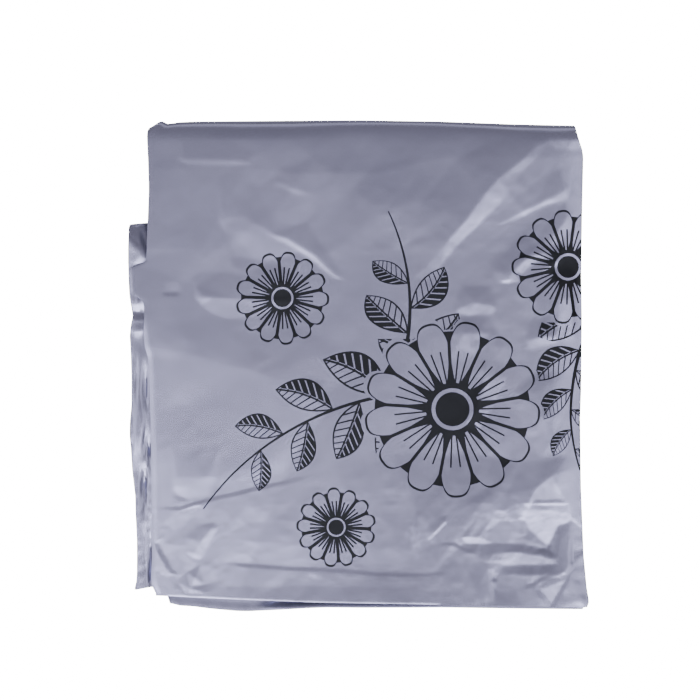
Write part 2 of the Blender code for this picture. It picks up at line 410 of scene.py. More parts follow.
# The face's creases, placed one by one. A crumple has its closed edge first, and then its folds.
FACE_CRUMPLES = (
    Crumple("upper left pleat",
        ((-212, 240), (-195, 231), (-140, 230.5), (-122, 231), (-120, 246), (-150, 260), (-205, 258)),
        (((-199, 238, 0.35), (-150, 237.5, 0.45), (-127, 234.5, 0.25)),)),
    Crumple("small upper pull",
        ((-100, 208), (-90, 204), (-80, 198), (-62, 195), (-55, 198), (-60, 220), (-80, 232), (-97, 222)),
        (((-93, 211, 0.22), (-76, 204.5, 0.28), (-62, 200, 0.18)), ((-90, 205.5), (-76, 199.5)))),
    Crumple("blunt peak and its long pull",
        ((-163, 168), (-150, 150), (-148, 124), (-141, 112), (-118, 98), (-95, 104), (-60, 100), (-22, 95),
         (-14, 99), (-30, 122), (-60, 165), (-85, 215), (-130, 238), (-165, 215)),
        (((-153, 171, 0.5), (-133, 173, 0.9), (-118, 163, 0.8), (-100, 153, 0.7), (-85, 148, 0.85),
          (-50, 127, 0.8), (-30, 107, 0.4)),
         ((-153, 171, 0.5), (-144, 150), (-142, 126, -0.4), (-118, 122, -0.45), (-100, 121, -0.25)),
         ((-100, 147, 0.35), (-86, 141.5, 0.25), (-68, 130.5), (-50, 119, -0.05), (-26, 99.5, -0.05)))),
    Crumple("curled crease",
        ((-192, 98), (-190, 80), (-182, 70), (-170, 60), (-150, 54), (-120, 56), (-90, 65), (-72, 73),
         (-74, 84), (-100, 96), (-125, 104), (-160, 108), (-185, 106)),
        (((-187, 92, 0.3), (-184, 86, 0.6), (-179, 79.5, 0.9), (-165, 79, 1.2), (-150, 77.5, 1.2),
          (-110, 75, 0.8), (-84, 75, 0.4)),)),
    Crumple("facet above the curl",
        ((-127, 86), (-110, 82), (-88, 79), (-74, 84), (-76, 108), (-100, 118), (-124, 108)),
        (((-116, 91, 0.4), (-97, 97, 0.9), (-83, 93, 0.5)),)),
    Crumple("slack of the left side",
        ((-262, 120), (-100, 60), (-20, 20), (-20, -60), (-60, -120), (-150, -136), (-262, -136)),
        (((-262, 30, 1.6), (-180, 10, 1.8), (-110, -10, 1.4)),)),
    Crumple("short nick",
        ((-227, 84), (-222, 81), (-209, 81.5), (-204, 84), (-209, 97), (-223, 97)),
        (((-222, 84, -0.4), (-209.5, 84.3, -0.4)),)),
    Crumple("shelf by the slanting ridge",
        ((-5, 200), (5, 150), (45, 135), (90, 155), (108, 190), (96, 238), (60, 240), (20, 232)),
        (((14, 187, 0.8), (40, 183, 1.2), (66, 192, 0.9), (86, 206, 0.3)),)),
    Crumple("top bend",
        ((-262, 262), (-200, 261), (-100, 262), (-60, 266), (0, 262), (60, 256), (100, 258), (120, 250),
         (135, 246), (150, 248), (168, 260), (196, 268), (212, 258), (238, 262), (268, 262), (268, 304, -1),
         (212, 304, -1.6), (197, 300, 1), (184, 304, -1), (-262, 304, -1))),
    Crumple("long slanting ridge",
        ((62, 104), (58, 140), (72, 185), (112, 238), (150, 258), (200, 266), (224, 262), (228, 240),
         (218, 215), (208, 195), (192, 172), (160, 148), (130, 128), (96, 104), (76, 96)),
        (((78, 114, 0.5), (104, 146, 1.7), (125, 170, 2.4), (146, 200, 3), (162, 217, 3), (173, 225, 2.7),
          (190, 240, 2), (206, 254, 0.9)),
         ((90, 110, 0.1), (116, 141, 0.2), (134, 158, 0.4), (150, 174, 0.7), (168, 191, 1.1),
          (174, 199, 1.5), (179, 212, 1.7), (186, 222, 1.3), (207, 241, 0.6), (215, 252, 0.3)))),
    Crumple("right upper pull",
        ((155, 163), (160, 161), (190, 172.5), (215, 184), (240, 191), (244, 206), (232, 226), (205, 212),
         (175, 188)),
        (((164, 164.5, 0.1), (190, 178, 0.5), (215, 190.5, 0.7), (238, 202, 0.9)),)),
    Crumple("short right ridge",
        ((208, 140), (222, 138), (235, 145), (247, 160), (249, 176), (238, 188), (222, 170), (208, 152)),
        (((215, 142, 0.2), (227, 153, 0.7), (240, 170, 0.8)),)),
    Crumple("right nick one",
        ((208, 109), (216, 108), (228, 114.5), (244, 124), (246, 132), (236, 140), (216, 128)),
        (((214, 111.5, 0.2), (226, 120, 0.6), (241, 129, 0.5)),)),
    Crumple("right nick two",
        ((228, 131), (242, 130.5), (247, 135), (244, 145), (230, 140)),
        (((232, 133, 0.2), (243, 135.5, 0.4)),)),
    Crumple("curved right ridge",
        ((160, 96), (186, 97), (189, 106), (197, 113), (206, 120), (224, 124), (234, 130), (222, 150),
         (190, 150), (166, 128), (154, 108)),
        (((170, 98, 0.6), (177, 108, 1.2), (188, 120, 1.5), (200, 128, 1.2), (213, 130, 0.6),
          (224, 129, 0.2)),)),
    Crumple("right patch",
        ((224, 74), (225, 45), (230, 28), (240, 27), (251, 30), (252, 80), (250, 112), (222, 112)),
        (((230, 77, 1.6), (245, 77, 1.9)), ((230, 77, 1.6), (229, 50, 0.7), (233, 32, 0.1)),
         ((237, 44, 0.4), (246, 41, 0.9)))),
    Crumple("lower right patch",
        ((192, 32), (196, 17), (210, 21), (222, 23), (230, 26), (232, 44), (222, 58), (200, 54)),
        (((198, 30, 0.6), (213, 35, 1), (227, 34, 0.8)),)),
    Crumple("upper right patch",
        ((108, 60), (126, 56), (136, 60), (150, 58), (160, 66), (152, 92), (118, 92)),
        (((118, 68, 0.6), (134, 73, 1.1), (152, 70, 0.7)),)),
    Crumple("middle right patch",
        ((104, 8), (120, 6), (132, 12), (150, 22), (160, 34), (150, 56), (118, 58), (104, 36)),
        (((113, 24, 0.5), (122, 37, 1.3), (138, 38, 1.3), (154, 36, 0.5)),)),
    Crumple("upright swell",
        ((128, 25), (126, -20), (122, -70), (138, -74), (152, -52), (172, -12), (176, 20), (158, 38)),
        (((150, 22, 0.8), (146, -12, 1.7), (136, -50, 1.3)),)),
    Crumple("right slope",
        ((178, -30), (190, -80), (208, -104), (240, -104), (252, -60), (240, -10), (205, -8)),
        (((205, -30, 1.2), (214, -60, 1.7), (222, -86, 0.8)),)),
    Crumple("lower right crumple",
        ((-70, -112), (-20, -104), (40, -100), (98, -104), (140, -104), (165, -108), (182, -110),
         (208, -110), (226, -106), (243, -104), (268, -112), (272, -200, -1.8), (272, -292, 1.2),
         (240, -292, 2.2), (222, -292, 0.5), (207, -292, 2), (190, -292, 3.9), (170, -292, 3.7),
         (155, -292, 3.9), (140, -292, 4.8), (110, -292, 5.1), (90, -292, 4.9), (70, -292, 4.2),
         (50, -292, 4), (30, -292, 3.1), (0, -292, 1.9), (-40, -292, 0.6), (-90, -292), (-90, -200)),
        (((-40, -228, 0.1), (0, -228, 0.8), (30, -228, 1.5), (50, -228, 2.6), (70, -230, 3.1),
          (90, -224, 3.9), (110, -224, 3.4), (125, -230, 3.9), (140, -225, 3.8)),
         ((30, -172, 0.8), (50, -172, 1.5), (70, -172, 2.3), (90, -176, 2.7), (110, -156, 2.05),
          (125, -156, 2.55), (140, -158, 3.15), (155, -158.5, 3.3), (170, -158.5, 2.6), (180, -158.5, 2.3),
          (190, -158.5, 2.15), (196, -158, 2.1)), ((70, -172, 2.3), (70, -213, 2.6), (70, -230, 3.1)),
         ((90, -176, 2.7), (90, -205, 3.3), (90, -224, 3.9)),
         ((110, -156, 2.05), (110, -196, 2.8), (110, -204, 2.85)),
         ((140, -172, 3.45), (155, -174, 3.5), (158, -166, 3.5), (163, -179, 2.4), (167, -166, 3)),
         ((140, -206, 3.05), (155, -205, 2.7), (170, -205, 2.1), (180, -206, 1.6), (190, -207, 0.6),
          (200, -208, -0.9), (210, -210, -2.6), (218, -210.5, -3.4)),
         ((179, -193, 1.95), (190, -198.5, 0.8), (203, -204, -1.3), (213, -208, -2.9)),
         ((208, -110), (201, -132, 1), (203, -141, 1.5), (196, -158, 2.2)),
         ((203, -141, 1.6), (222, -126, 1.1), (229, -154, -0.9), (205, -155, 0.6)),
         ((199, -157.5, 1.3), (205, -157.5, 0.85), (215, -157.5, 0.1), (229, -157.5, -0.65),
          (240, -157.5, -0.7)),
         ((198, -160.5, 1.1), (215, -160.5, -0.35), (229, -160.5, -1.1), (240, -160.5, -1.15)),
         ((197, -165, 1.1), (215, -166, -0.4), (229, -167, -1.3), (243, -170, -1.5)),
         ((197, -165, 1.1), (190, -178, 0.5), (197, -190, -0.9), (208, -200, -2.5), (219, -207, -3.7)),
         ((158, -134, 1.35), (175, -134, 1.15)), ((158, -147, 2.6), (175, -147, 2.05)),
         ((183, -167, 2), (181, -180, 1.9), (179, -193, 1.95)),
         ((189, -167, 1.75), (185, -178, 1.5), (188, -190, 1.1)),
         ((229, -184, -2.7), (224, -197, -3.3), (219, -207, -3.7)),
         ((229, -184, -2.7), (236, -183, -2.6), (243, -178, -2.3), (243, -170, -1.5)),
         ((125, -197, 3.9), (139, -197, 3.8)), ((124, -205, 3.2), (138, -205, 3.05)),
         ((117, -197, 3.2), (118, -206, 3.3)),
         ((155, -216, 3.55), (170, -214, 3.05), (180, -214, 2.65), (190, -215, 2), (200, -217, 0.8),
          (210, -217, -0.5), (220, -221, -0.8), (229, -220, -0.1)),
         ((150, -227, 3.55), (155, -227.5, 3.15), (170, -230, 2.1), (180, -230, 1.75), (190, -230, 1.4),
          (200, -230, 0.3), (210, -230, -0.9), (220, -229, -1.1), (229, -229, 0.1)),
         ((150, -227, 3.55), (148, -234, 3.85), (150, -247, 3.7), (150, -262, 3.9)),
         ((156, -233, 2.9), (155, -245, 2.1), (150, -247, 3.7)),
         ((163, -234, 2.5), (162, -240, 2.5), (160, -250, 2.5)),
         ((170, -239, 2.6), (180, -240, 2.6), (190, -240.5, 2.85), (200, -241, 2.1), (210, -241, 0.8),
          (220, -243, 0.9), (231, -240, 1.35), (238, -240, 1.5)),
         ((230, -186, -2.6), (230, -207, -1), (230, -229, 0.5), (231, -240, 1.35)),
         ((243, -184, -2.1), (243, -212, -0.3), (243, -229, 0.7)),
         ((246.5, -180, -2.1), (246.5, -190, -1.9), (246.5, -212, -1.7), (247, -225, -1.2)),
         ((236, -238, 1.5), (246, -229.5, 0.4)), ((238, -240.5, 0.7), (248, -232, -0.6)),
         ((193, -256, 2.95), (205, -251.5, 1.75), (215, -244.5, 0.95), (222, -241, 0.8)),
         ((193, -253.5, 2.6), (204, -249, 1.35), (214, -242.3, 0.55), (221, -239, 0.5)),
         ((207, -258, 1.5), (240, -246, 1.2), (222, -277, 0.2), (207, -258, 1.5)),
         ((203, -258, 2.3), (214, -268, 1.6), (219, -280, 1)),
         ((226, -279, 1.1), (234, -262, 1.6), (242, -249, 1.6)),
         ((170, -262, 2.6), (180, -257, 2.5), (190, -251, 2.8)), ((163, -268, 2.95), (172, -262, 2.55)),
         ((110, -204, 2.9), (127, -212, 3.6)), ((109, -206.5, 3.3), (126, -214.5, 4)),
         ((125, -216.5, 4), (138, -220.5, 3.9), (149, -225, 3.75)), ((128, -214.5, 4.1), (133, -216, 4)),
         ((140, -250, 4.2), (140, -272, 4.5)), ((157, -258, 2.55), (157, -272, 3.1)))),
    Crumple("crumple of the right edge",
        ((246, -196), (246, -224), (243, -240), (241, -262), (244, -292), (272, -292), (272, -196)),
        (((250, -201, 0.3), (259, -205, 0.4)), ((247, -214, -0.2), (262, -211, -0.1)),
         ((249, -222, 0.3), (262, -218, 0.5)), ((248, -232, -0.1), (262, -229, -0.1)),
         ((247, -236, 0.2), (258, -238, 0.35)), ((248, -246, -0.15), (262, -246, -0.1)),
         ((247, -251, 0.2), (259, -254, 0.3)), ((248, -262), (262, -264, 0.1)),
         ((251, -268, 0.3), (262, -270, 0.5)))),
    Crumple("upright lens",
        ((67, -167), (72, -168), (74, -185), (73, -205), (69, -224), (65, -224), (60, -205), (61, -185)),
        (((68, -172, 0.3), (66, -190, 0.7), (66, -205, 0.5), (67, -219, 0.15)),)),
    Crumple("short streak",
        ((78, -200), (81, -200.5), (91, -191), (101, -180.5), (101, -172), (90, -176), (76, -192)),
        (((80.5, -198.5, 0.2), (88, -190.5, 0.55), (99, -179.5, 0.55)),)),
    Crumple("long left valley",
        ((-228, -165), (-206, -165.8), (-188, -160), (-173, -156.5), (-158, -152), (-141, -148.8),
         (-114, -141.3), (-89, -136.3), (-58, -128), (-62, -110), (-120, -114), (-170, -128), (-212, -138),
         (-232, -148)),
        (((-222, -163.2, -0.1), (-207, -163.6, -0.3), (-190, -158, -0.4), (-175, -154.5, -0.4),
          (-160, -150, -0.4), (-142, -146.8, -0.4), (-115, -139.3, -0.35), (-90, -134.3, -0.3),
          (-68, -128.7, -0.15)),)),
    Crumple("left swell",
        ((-216, -142), (-200, -153), (-172, -150), (-164, -130), (-158, -92), (-216, -94)),
        (((-209, -129, 0.45), (-174, -127, 0.55)),)),
    Crumple("left nick",
        ((-214, -150.5), (-210, -153), (-199, -157), (-194, -155), (-198, -142), (-214, -140)),
        (((-211, -149.7, -0.2), (-201, -154, -0.2)),)),
    Crumple("left facet",
        ((-187, -160), (-213, -170), (-226, -182), (-227, -203), (-218, -206), (-204, -207), (-185, -196),
         (-174, -182), (-176, -164)),
        (((-188, -163, -0.25), (-190, -172, -0.4), (-198, -179, -0.45), (-209, -190, -0.4),
          (-218, -202, -0.15)),)),
    Crumple("left streak",
        ((-192, -222), (-180, -223), (-172, -204), (-162, -188), (-166, -180), (-184, -184), (-200, -196),
         (-206, -207), (-200, -214)),
        (((-189, -216, 0.5), (-183, -203, 0.8), (-169, -187, 0.5)),)),
    Crumple("slanting left hollow",
        ((-238, -204), (-239, -215), (-237, -235), (-222, -243), (-208, -241), (-198, -226), (-204, -206),
         (-226, -198)),
        (((-231, -205, -0.2), (-223, -220, -0.35), (-214, -236, -0.2)),
         ((-235.5, -208, 0.3), (-227.5, -223, 0.6), (-218, -238, 0.3)))),
    Crumple("lower left triangle",
        ((-204, -216), (-214, -240), (-213, -256), (-200, -262), (-176, -262), (-152, -248), (-156, -232),
         (-184, -222)),
        (((-184, -229.5, 0.05), (-190, -243, 0.9), (-195, -255, 0.5)),
         ((-184, -229.5, 0.05), (-198, -239, -0.3), (-209, -249, -0.25)),
         ((-184, -229.5, 0.05), (-166, -234, 0.15)), ((-178, -252, -0.3), (-164, -248, -0.2)))),
    Crumple("hem seam",
        ((-186, -226.5), (-160, -229.5), (-130, -231.5), (-100, -233.5), (-80, -235.5), (-40, -236.5),
         (0, -239.5), (20, -242), (50, -242.5), (90, -241.5), (104, -238), (80, -214), (0, -210),
         (-80, -206), (-130, -202), (-176, -204)),
        (((-176, -225), (-155, -227, -0.1), (-130, -228.5, -0.35), (-100, -230.5, -0.4),
          (-80, -232.5, -0.4), (-40, -233.5, -0.35), (0, -236.5, -0.3), (20, -239, -0.35),
          (50, -239.5, -0.4), (90, -238.5, -0.2)),)),
    Crumple("rise to the hem",
        ((-200, -253), (-150, -255), (-60, -255), (60, -256), (110, -262), (110, -290, 0.4),
         (60, -290, 0.7), (-60, -290, 1.2), (-160, -290, 1), (-200, -290, 0.6))),
)

# Broad rises and hollows of the whole upper half of the packet, which its leaves share by their height.
STACK_SHAPE = (
    Crumple("thicker right side",
        ((150, 120), (165, 200), (200, 262), (272, 262, 0.4), (272, 60, 3.5), (272, -292, 4.4),
         (215, -292, 4.2), (150, -292), (150, -60)),
        (((215, 180, 0.9), (215, 60, 3), (215, -100, 3), (215, -292, 4.2)),)),
    Crumple("hollow of the lower half",
        ((-262, 60), (0, 45), (150, 45), (190, -40), (195, -292), (150, -292, 3.6), (30, -292, 4.4),
         (-60, -292, -0.8), (-150, -292, -5), (-262, -292, -6.2)),
        (((-262, -112, -2), (-200, -112, -1.9), (-80, -112, -1.6), (-30, -112, 0.4), (20, -112, 2),
          (120, -112, 1.6)), ((-30, -45), (20, -45, 1.2), (120, -45, 0.6)),
         ((-30, -225, 0.9), (20, -225, 3.5), (120, -225, 3.6)))),
    Crumple("fall to the top",
        ((-262, 50), (-100, 50), (60, 50), (200, 50), (272, 50), (272, 304, 1.5), (250, 304, 1.2),
         (240, 304, -1.2), (200, 304, -1.4), (60, 304, -4.2), (-80, 304, -3), (-262, 304, -4.4)),
        (((-262, 135, 0.3), (-180, 135, 0.6), (-80, 135), (20, 135, -0.4), (120, 135, 0.2),
          (200, 135, -0.2), (268, 135)),
         ((-262, 228, -1.6), (-180, 228, -1.2), (-130, 228, -0.3), (-80, 222, 0.4), (-30, 222, -0.4),
          (20, 222, -1.3), (70, 235, -1.5), (120, 242, -1.2), (170, 242, -0.5), (210, 235, 0.2),
          (268, 235, 0.4)),
         ((-262, 262, -3), (-180, 262, -2.4), (-130, 262, -1.2), (-80, 262, -0.7), (-20, 262, -2.8),
          (20, 262, -3.2), (70, 264, -3), (120, 264, -2.3), (170, 264, -1.3), (210, 264), (228, 263, 1.1),
          (240, 263, 1.7), (248, 262, 2.3), (268, 262, 2.5)),
         ((228, 249, 0.3), (240, 249, 0.4), (248, 249, 0.5), (268, 249, 0.6)))),
    Crumple("pull of the right edge",
        ((224, -80), (222, 0), (224, 60), (230, 140), (272, 160), (276, 50, -3.2), (276, -25, -3.2),
         (272, -100)),
        (((238, -20, -0.7), (238, 45, -0.7)), ((256, -25, -1.9), (256, 50, -1.9)))),
)

LOOSE_FACETS = (
    LooseFacets(width=44.0, depth=0.22, seed=5, stretch=1.7),
    LooseFacets(width=19.0, depth=0.09, seed=12, stretch=1.4),
)

# Hollows and ridges of the leaves behind the face, where their back folds stick out past it on the left.
# Their heights are those at the top of the stack, and the leaves below follow in proportion.
PLEAT_CREASES = (
    Crease("dark top corner", -332, 265.5, -142, 60.5, -12, 30, 29),
    Crease("darkest streak", -252, 160, -243.5, 131, -2.5, 2.5, 2.5),
    Crease("bluish facet", -275, 161, -232, 114, 1.4, 3, 26),
    Crease("hollow at the face's edge", -262, 112, -246, 118, -0.8, 4, 5),
    Crease("knot cap", -253.5, 82, -254.5, 60, 1.9, 4.5, 6, 0.75, Taper.NARROW),
    Crease("side of the knot", -247.5, 80, -247.3, 60, 0.8, 1.2, 2),
    Crease("upper knot hollow", -266, 62.5, -240, 62.5, -2.6, 9, 6),
    Crease("lower knot ridge one", -264, 52.5, -244, 53, 0.9, 3, 5),
    Crease("lower knot ridge two", -266, 43, -242, 42, 1.3, 4, 8),
    Crease("long hollow", -246, 10, -246, -62, -3.5, 1.6, 5.6),
    Crease("gap by the face", -241.7, -76, -241.7, -118, -4.2, 1.2, 1.5, 0.55),
    Crease("slanting dark line", -244, -60, -249, -117, -2.6, 1.2, 2.6),
    Crease("lower hollow", -246, -108, -247, -180, -5, 1.2, 5.6, 0.4),
    Crease("long gap by the face", -239.8, -158, -239.8, -262, -3.6, 1, 3, 0.85),
    Crease("wider end of the gap", -241, -218, -241, -256, -1.4, 2, 4, 0.6),
    Crease("thin line by the ridge", -247, -161, -247, -252, -1.5, 1.2, 2),
    Crease("strip edge line", -256, 14, -256.5, -42, -1.6, 1.4, 1.6),
    Crease("loop facet", -258, -36.5, -256.5, -116, 1.2, 5, 4, 0.6),
    Crease("tilt of the loose strip", -250, 40, -250, -135, 2.5, 4.5, 12.5, 0.58),
    Crease("light lower strip", -256, -106, -255.5, -250, 0.8, 3, 3, 0.4),
)


# ---------------------------------------------------------------- the packet's outline


class LeftRow(NamedTuple):
    """Where each leaf's loose end or fold lies on the left, at one height of the packet."""

    y: float
    face_end: float
    face_back: float
    core_end: float
    under_core: float
    under_back: float
    under_end: float


class RightRow(NamedTuple):
    """Where each fold lies on the right, at one height of the packet."""

    y: float
    face_fold: float
    core_fold: float
    under_core: float
    under_fold: float


class HemRow(NamedTuple):
    """Where each leaf's hem lies at the bottom end, at one place across the packet."""

    x: float
    face: float
    second: float
    third: float
    core: float
    under_core: float
    under_third: float
    under_second: float
    base: float


class TopRow(NamedTuple):
    """Where the folded-over end lies, at one place across the packet."""

    x: float
    y: float


LEFT = tuple(LeftRow(*row) for row in (
    (-277, -233.5, -256, -251, -250, -254.5, -217),
    (-262, -234, -256.5, -251, -250, -255, -222),
    (-256, -237.3, -256.6, -251, -250, -255, -231),
    (-249, -239.2, -254.8, -249, -248, -252, -238),
    (-240, -239.2, -254.2, -248, -247, -250.5, -244),
    (-220, -238, -254, -248.5, -248, -251, -248),
    (-200, -238.3, -254.1, -249, -248.5, -251.5, -248.5),
    (-170, -238.6, -255.6, -250, -250, -252.8, -249),
    (-150, -238.8, -256, -251.5, -251.5, -254.3, -251),
    (-120, -239.2, -259.5, -253.5, -254, -256.5, -252),
    (-96, -239.3, -260.9, -255, -255.5, -258.5, -253),
    (-80, -239.5, -262.4, -256, -256.5, -259.5, -254),
    (-66, -239.8, -262.2, -256, -256.5, -259.2, -254),
    (-45, -240.5, -260.3, -255.5, -256, -258.3, -254),
    (-12, -241.5, -260.3, -255, -255.5, -258.5, -254),
    (10, -243, -261, -256, -256.5, -259.5, -255),
    (22, -246.5, -261.5, -256, -256.5, -259.8, -255),
    (34, -247.6, -262.3, -257, -257.5, -260, -256),
    (47, -247.8, -261, -256, -256, -258.5, -254),
    (57, -247.2, -258.9, -254, -254, -256.5, -253),
    (66, -247.2, -260.1, -255, -255, -258, -254),
    (72, -247.8, -261.2, -256, -256, -259, -254.5),
    (77, -251, -262, -256.5, -256.5, -259.5, -255),
    (80, -257, -262.4, -257, -257, -260, -256),
    (83, -262.4, -262.8, -257, -257, -260, -256),
    (94, -263.2, -263.4, -257.5, -257.5, -260.5, -256),
    (104, -263.4, -263.8, -258, -258, -261, -257),
    (113, -263, -264, -258.5, -258.5, -261, -257),
    (116.5, -254, -264.1, -258.5, -258.5, -261.2, -257),
    (120, -245, -264.2, -259, -259, -261.5, -257),
    (136, -244.3, -264.2, -259, -259, -262, -257),
    (162.8, -243.4, -263.4, -258, -258, -261, -256),
    (163.6, -243.4, -228, -226, -226.5, -229, -231),
    (203, -242, -226, -225, -226, -228, -230),
    (238, -243, -227, -226, -226, -229, -232),
    (268, -244.5, -238, -236, -236, -238, -239.5),
    (275, -244.2, -232.5, -231, -231, -233, -234),
    (283, -234.5, -227, -226, -226, -228, -228.5),
))

RIGHT = tuple(RightRow(*row) for row in (
    (-279, 261, 257, 256, 258.5),
    (-272, 263.8, 258.5, 257.5, 260.5),
    (-255, 261, 256, 256.5, 258),
    (-218, 257.5, 253.5, 254.5, 254.5),
    (-140, 254.4, 251, 252, 252.5),
    (-61, 253.4, 249.5, 250.5, 251.5),
    (-30, 254.6, 250.5, 252, 251.5),
    (56, 255.5, 251, 253, 252.5),
    (104, 254.7, 251, 252, 252.5),
    (173, 255.7, 252, 251.5, 253),
    (241, 257.2, 253, 252.5, 253),
    (248, 256.2, 252.5, 251.5, 252.5),
    (258, 252.8, 251, 250.5, 251.5),
    (270, 249.4, 248.5, 248, 249),
    (283, 247, 245.5, 245, 246),
))

HEMS = tuple(HemRow(*row) for row in (
    (-264, -264, -259.8, -259, -258.5, -258.5, -259, -259.4, -272),
    (-238, -264.8, -254.8, -254.5, -254, -254, -254.3, -254.5, -273.4),
    (-217, -265.6, -260.8, -261.8, -262, -262.5, -262.8, -263.8, -277),
    (-198, -266.6, -262.5, -263.5, -263.5, -264.5, -265.5, -266, -277.8),
    (-176, -267.6, -263.5, -264.5, -264.5, -265.5, -266.5, -267, -280.2),
    (-140, -269.3, -265.3, -265.3, -266.3, -266.3, -267.5, -268.6, -283.2),
    (-127, -269.8, -265.8, -265.8, -266.8, -266.8, -267.8, -269.3, -283.4),
    (-96, -270.9, -266.7, -266.7, -267.7, -267.7, -269.3, -270.4, -281.9),
    (-60, -272.3, -268, -268, -269, -269, -270.8, -271.8, -279.8),
    (-37, -272.9, -269.4, -269.4, -269.4, -270.4, -271.4, -272.2, -278.9),
    (2, -273.6, -270.6, -271, -271, -272, -272, -273, -279.3),
    (94, -275, -272, -272, -273, -273, -273.8, -274.5, -279),
    (180, -276.6, -273.3, -274.3, -273.7, -274.7, -275.3, -276, -280.3),
    (258, -278.4, -277.4, -277, -276.5, -276, -276.4, -277, -281),
))

TOP = tuple(TopRow(*row) for row in (
    (-243, 275.5), (-240.2, 282), (-236, 282), (-227, 279), (-212, 281), (-193, 281.7), (-142, 282.2),
    (0, 283.2), (93, 281.8), (179, 278.6), (251, 277),
))

# How far beside a place a table is read as well, so that its corners come out rounded.
READ_STEPS = (-1.2, -0.4, 0.4, 1.2)


def read(rows: tuple[NamedTuple, ...], column: str, at: np.ndarray) -> np.ndarray:
    """Read one column of an outline table at many places, with the corners at its rows just rounded.

    Args:
        rows: The table, whose first column goes up.
        column: The name of the column to read.
        at: The places.

    Returns:
        The column's value at each place.
    """
    places = [row[0] for row in rows]
    values = [getattr(row, column) for row in rows]
    return sum(np.interp(at + step, places, values) for step in READ_STEPS) / len(READ_STEPS)


# ---------------------------------------------------------------- the film


class Span(NamedTuple):
    """A stretch of grid lines: where it ends, and how far apart its lines are."""

    end: float
    pitch: float


class Skin(Enum):
    """The two sides of the film: the one that faces up on the packet's face, and the one behind it."""

    OUTER = 0
    INNER = 1


class Stretch(Enum):
    """The parts of the folded film along its length, as far as the mesh's fineness goes."""

    FACE = "the face's leaf"
    RIGHT_FOLD = "a fold on the right"
    LEFT_FOLD = "a fold on the left"
    PLEAT = "the left end of a leaf behind the face"
    HIDDEN = "the rest of a leaf behind the face"


class Half(Enum):
    """The parts of the folded film along its height, as far as the mesh's fineness goes."""

    FRONT = "from the face's hem to the top end"
    TURN = "over the top end"
    REAR = "from the top end to the lower hem's lip"
    LIP = "the lower hem's lip, which sticks out below the face"


# How many grid lines one face of the mesh spans, along the rows and along the columns, in each stretch in
# the order above. Where the film shows, it is one line or two, and where leaves hide it, a few.
COARSENESS = {
    (skin, half): dict(zip(Stretch, pairs))
    for skin, half, pairs in (
        (Skin.OUTER, Half.FRONT, ((1, 1), (2, 1), (3, 2), (3, 2), (8, 1))),
        (Skin.OUTER, Half.TURN, ((1, 2), (1, 1), (2, 2), (2, 4), (2, 1))),
        (Skin.OUTER, Half.REAR, ((4, 6), (4, 1), (3, 2), (3, 3), (8, 1))),
        (Skin.OUTER, Half.LIP, ((2, 6), (3, 1), (3, 2), (3, 3), (8, 1))),
        (Skin.INNER, Half.FRONT, ((5, 4), (4, 2), (1, 1), (2, 1), (8, 1))),
        (Skin.INNER, Half.TURN, ((2, 6), (2, 2), (2, 1), (2, 3), (2, 1))),
        (Skin.INNER, Half.REAR, ((4, 6), (4, 2), (1, 1), (2, 2), (8, 1))),
        (Skin.INNER, Half.LIP, ((1, 3), (3, 2), (2, 1), (2, 2), (8, 1))),
    )
}


def grid_lines(start: float, spans: tuple[Span, ...]) -> np.ndarray:
    """Lay out grid lines from a start through a row of spans, each evenly divided.

    Args:
        start: Where the first line lies.
        spans: The stretches, in order.

    Returns:
        The places of all the lines.
    """
    lines = [start]
    for span in spans:
        count = max(1, round(abs(span.end - lines[-1]) / span.pitch))
        lines.extend(np.linspace(lines[-1], span.end, count + 1)[1:])
    return np.array(lines)


@dataclass(frozen=True)
class FaceRelief:
    """The face's unevenness: a broad swell, its creases, and a fine crumple that is livelier in places.

    The places where the creases are read wander a little, so that none of them is quite straight.
    """

    swell: float = 0.7
    swell_waves: tuple[float, float] = (61.0, 74.0)
    swell_shifts: tuple[float, float] = (0.6, 1.1)
    wander: float = 0.7
    wander_wave: float = 34.0
    rounding: float = 0.8
    crumple: float = 0.05
    crumple_wave: float = 17.0
    fine_wave: float = 8.0
    ridge_strength: float = 2.0
    lively_least: float = 0.35
    lively_right: Slope = Slope(20.0, 160.0)
    lively_slant: float = 0.6
    lively_bottom: Slope = Slope(-110.0, -40.0)
    lively_extra: float = 0.5

    # Each crease is read in these places around a point, so that its crest comes out rounded.
    AROUND = ((0, 0), (1, 0), (-1, 0), (0, 1), (0, -1))

    def rise(self, x: np.ndarray, y: np.ndarray) -> np.ndarray:
        """Work out how far each point of the face lies above its plain level.

        Args:
            x: The points' X.
            y: The points' Y.

        Returns:
            The rise of each point.
        """
        (wave_x, wave_y), (shift_x, shift_y) = self.swell_waves, self.swell_shifts
        swell = self.swell * np.sin(x / wave_x + shift_x) * np.sin(y / wave_y + shift_y)
        drift_x = self.wander * noise_field(x, y, self.wander_wave, NoiseLayer.WANDER_X)
        drift_y = self.wander * noise_field(x, y, self.wander_wave, NoiseLayer.WANDER_Y)
        creases = np.zeros_like(x)
        for step_x, step_y in self.AROUND:
            at_x, at_y = x + drift_x + step_x * self.rounding, y + drift_y + step_y * self.rounding
            for crease in (*FACE_CRUMPLES, *LOOSE_FACETS):
                creases += CREASE_DEPTH * crease.rise(at_x, at_y) / len(self.AROUND)
        ridged = ridged_noise(x, y, self.crumple_wave, NoiseLayer.RIDGES)
        fine = ridged_noise(x, y, self.fine_wave, NoiseLayer.FINE)
        to_right = (1 - self.lively_least) * self.lively_right.at(x + self.lively_slant * np.abs(y))
        to_bottom = self.lively_extra * self.lively_bottom.at(y)
        lively = self.lively_least + to_right + to_bottom
        return swell + creases + self.crumple * lively * (self.ridge_strength * ridged + fine)


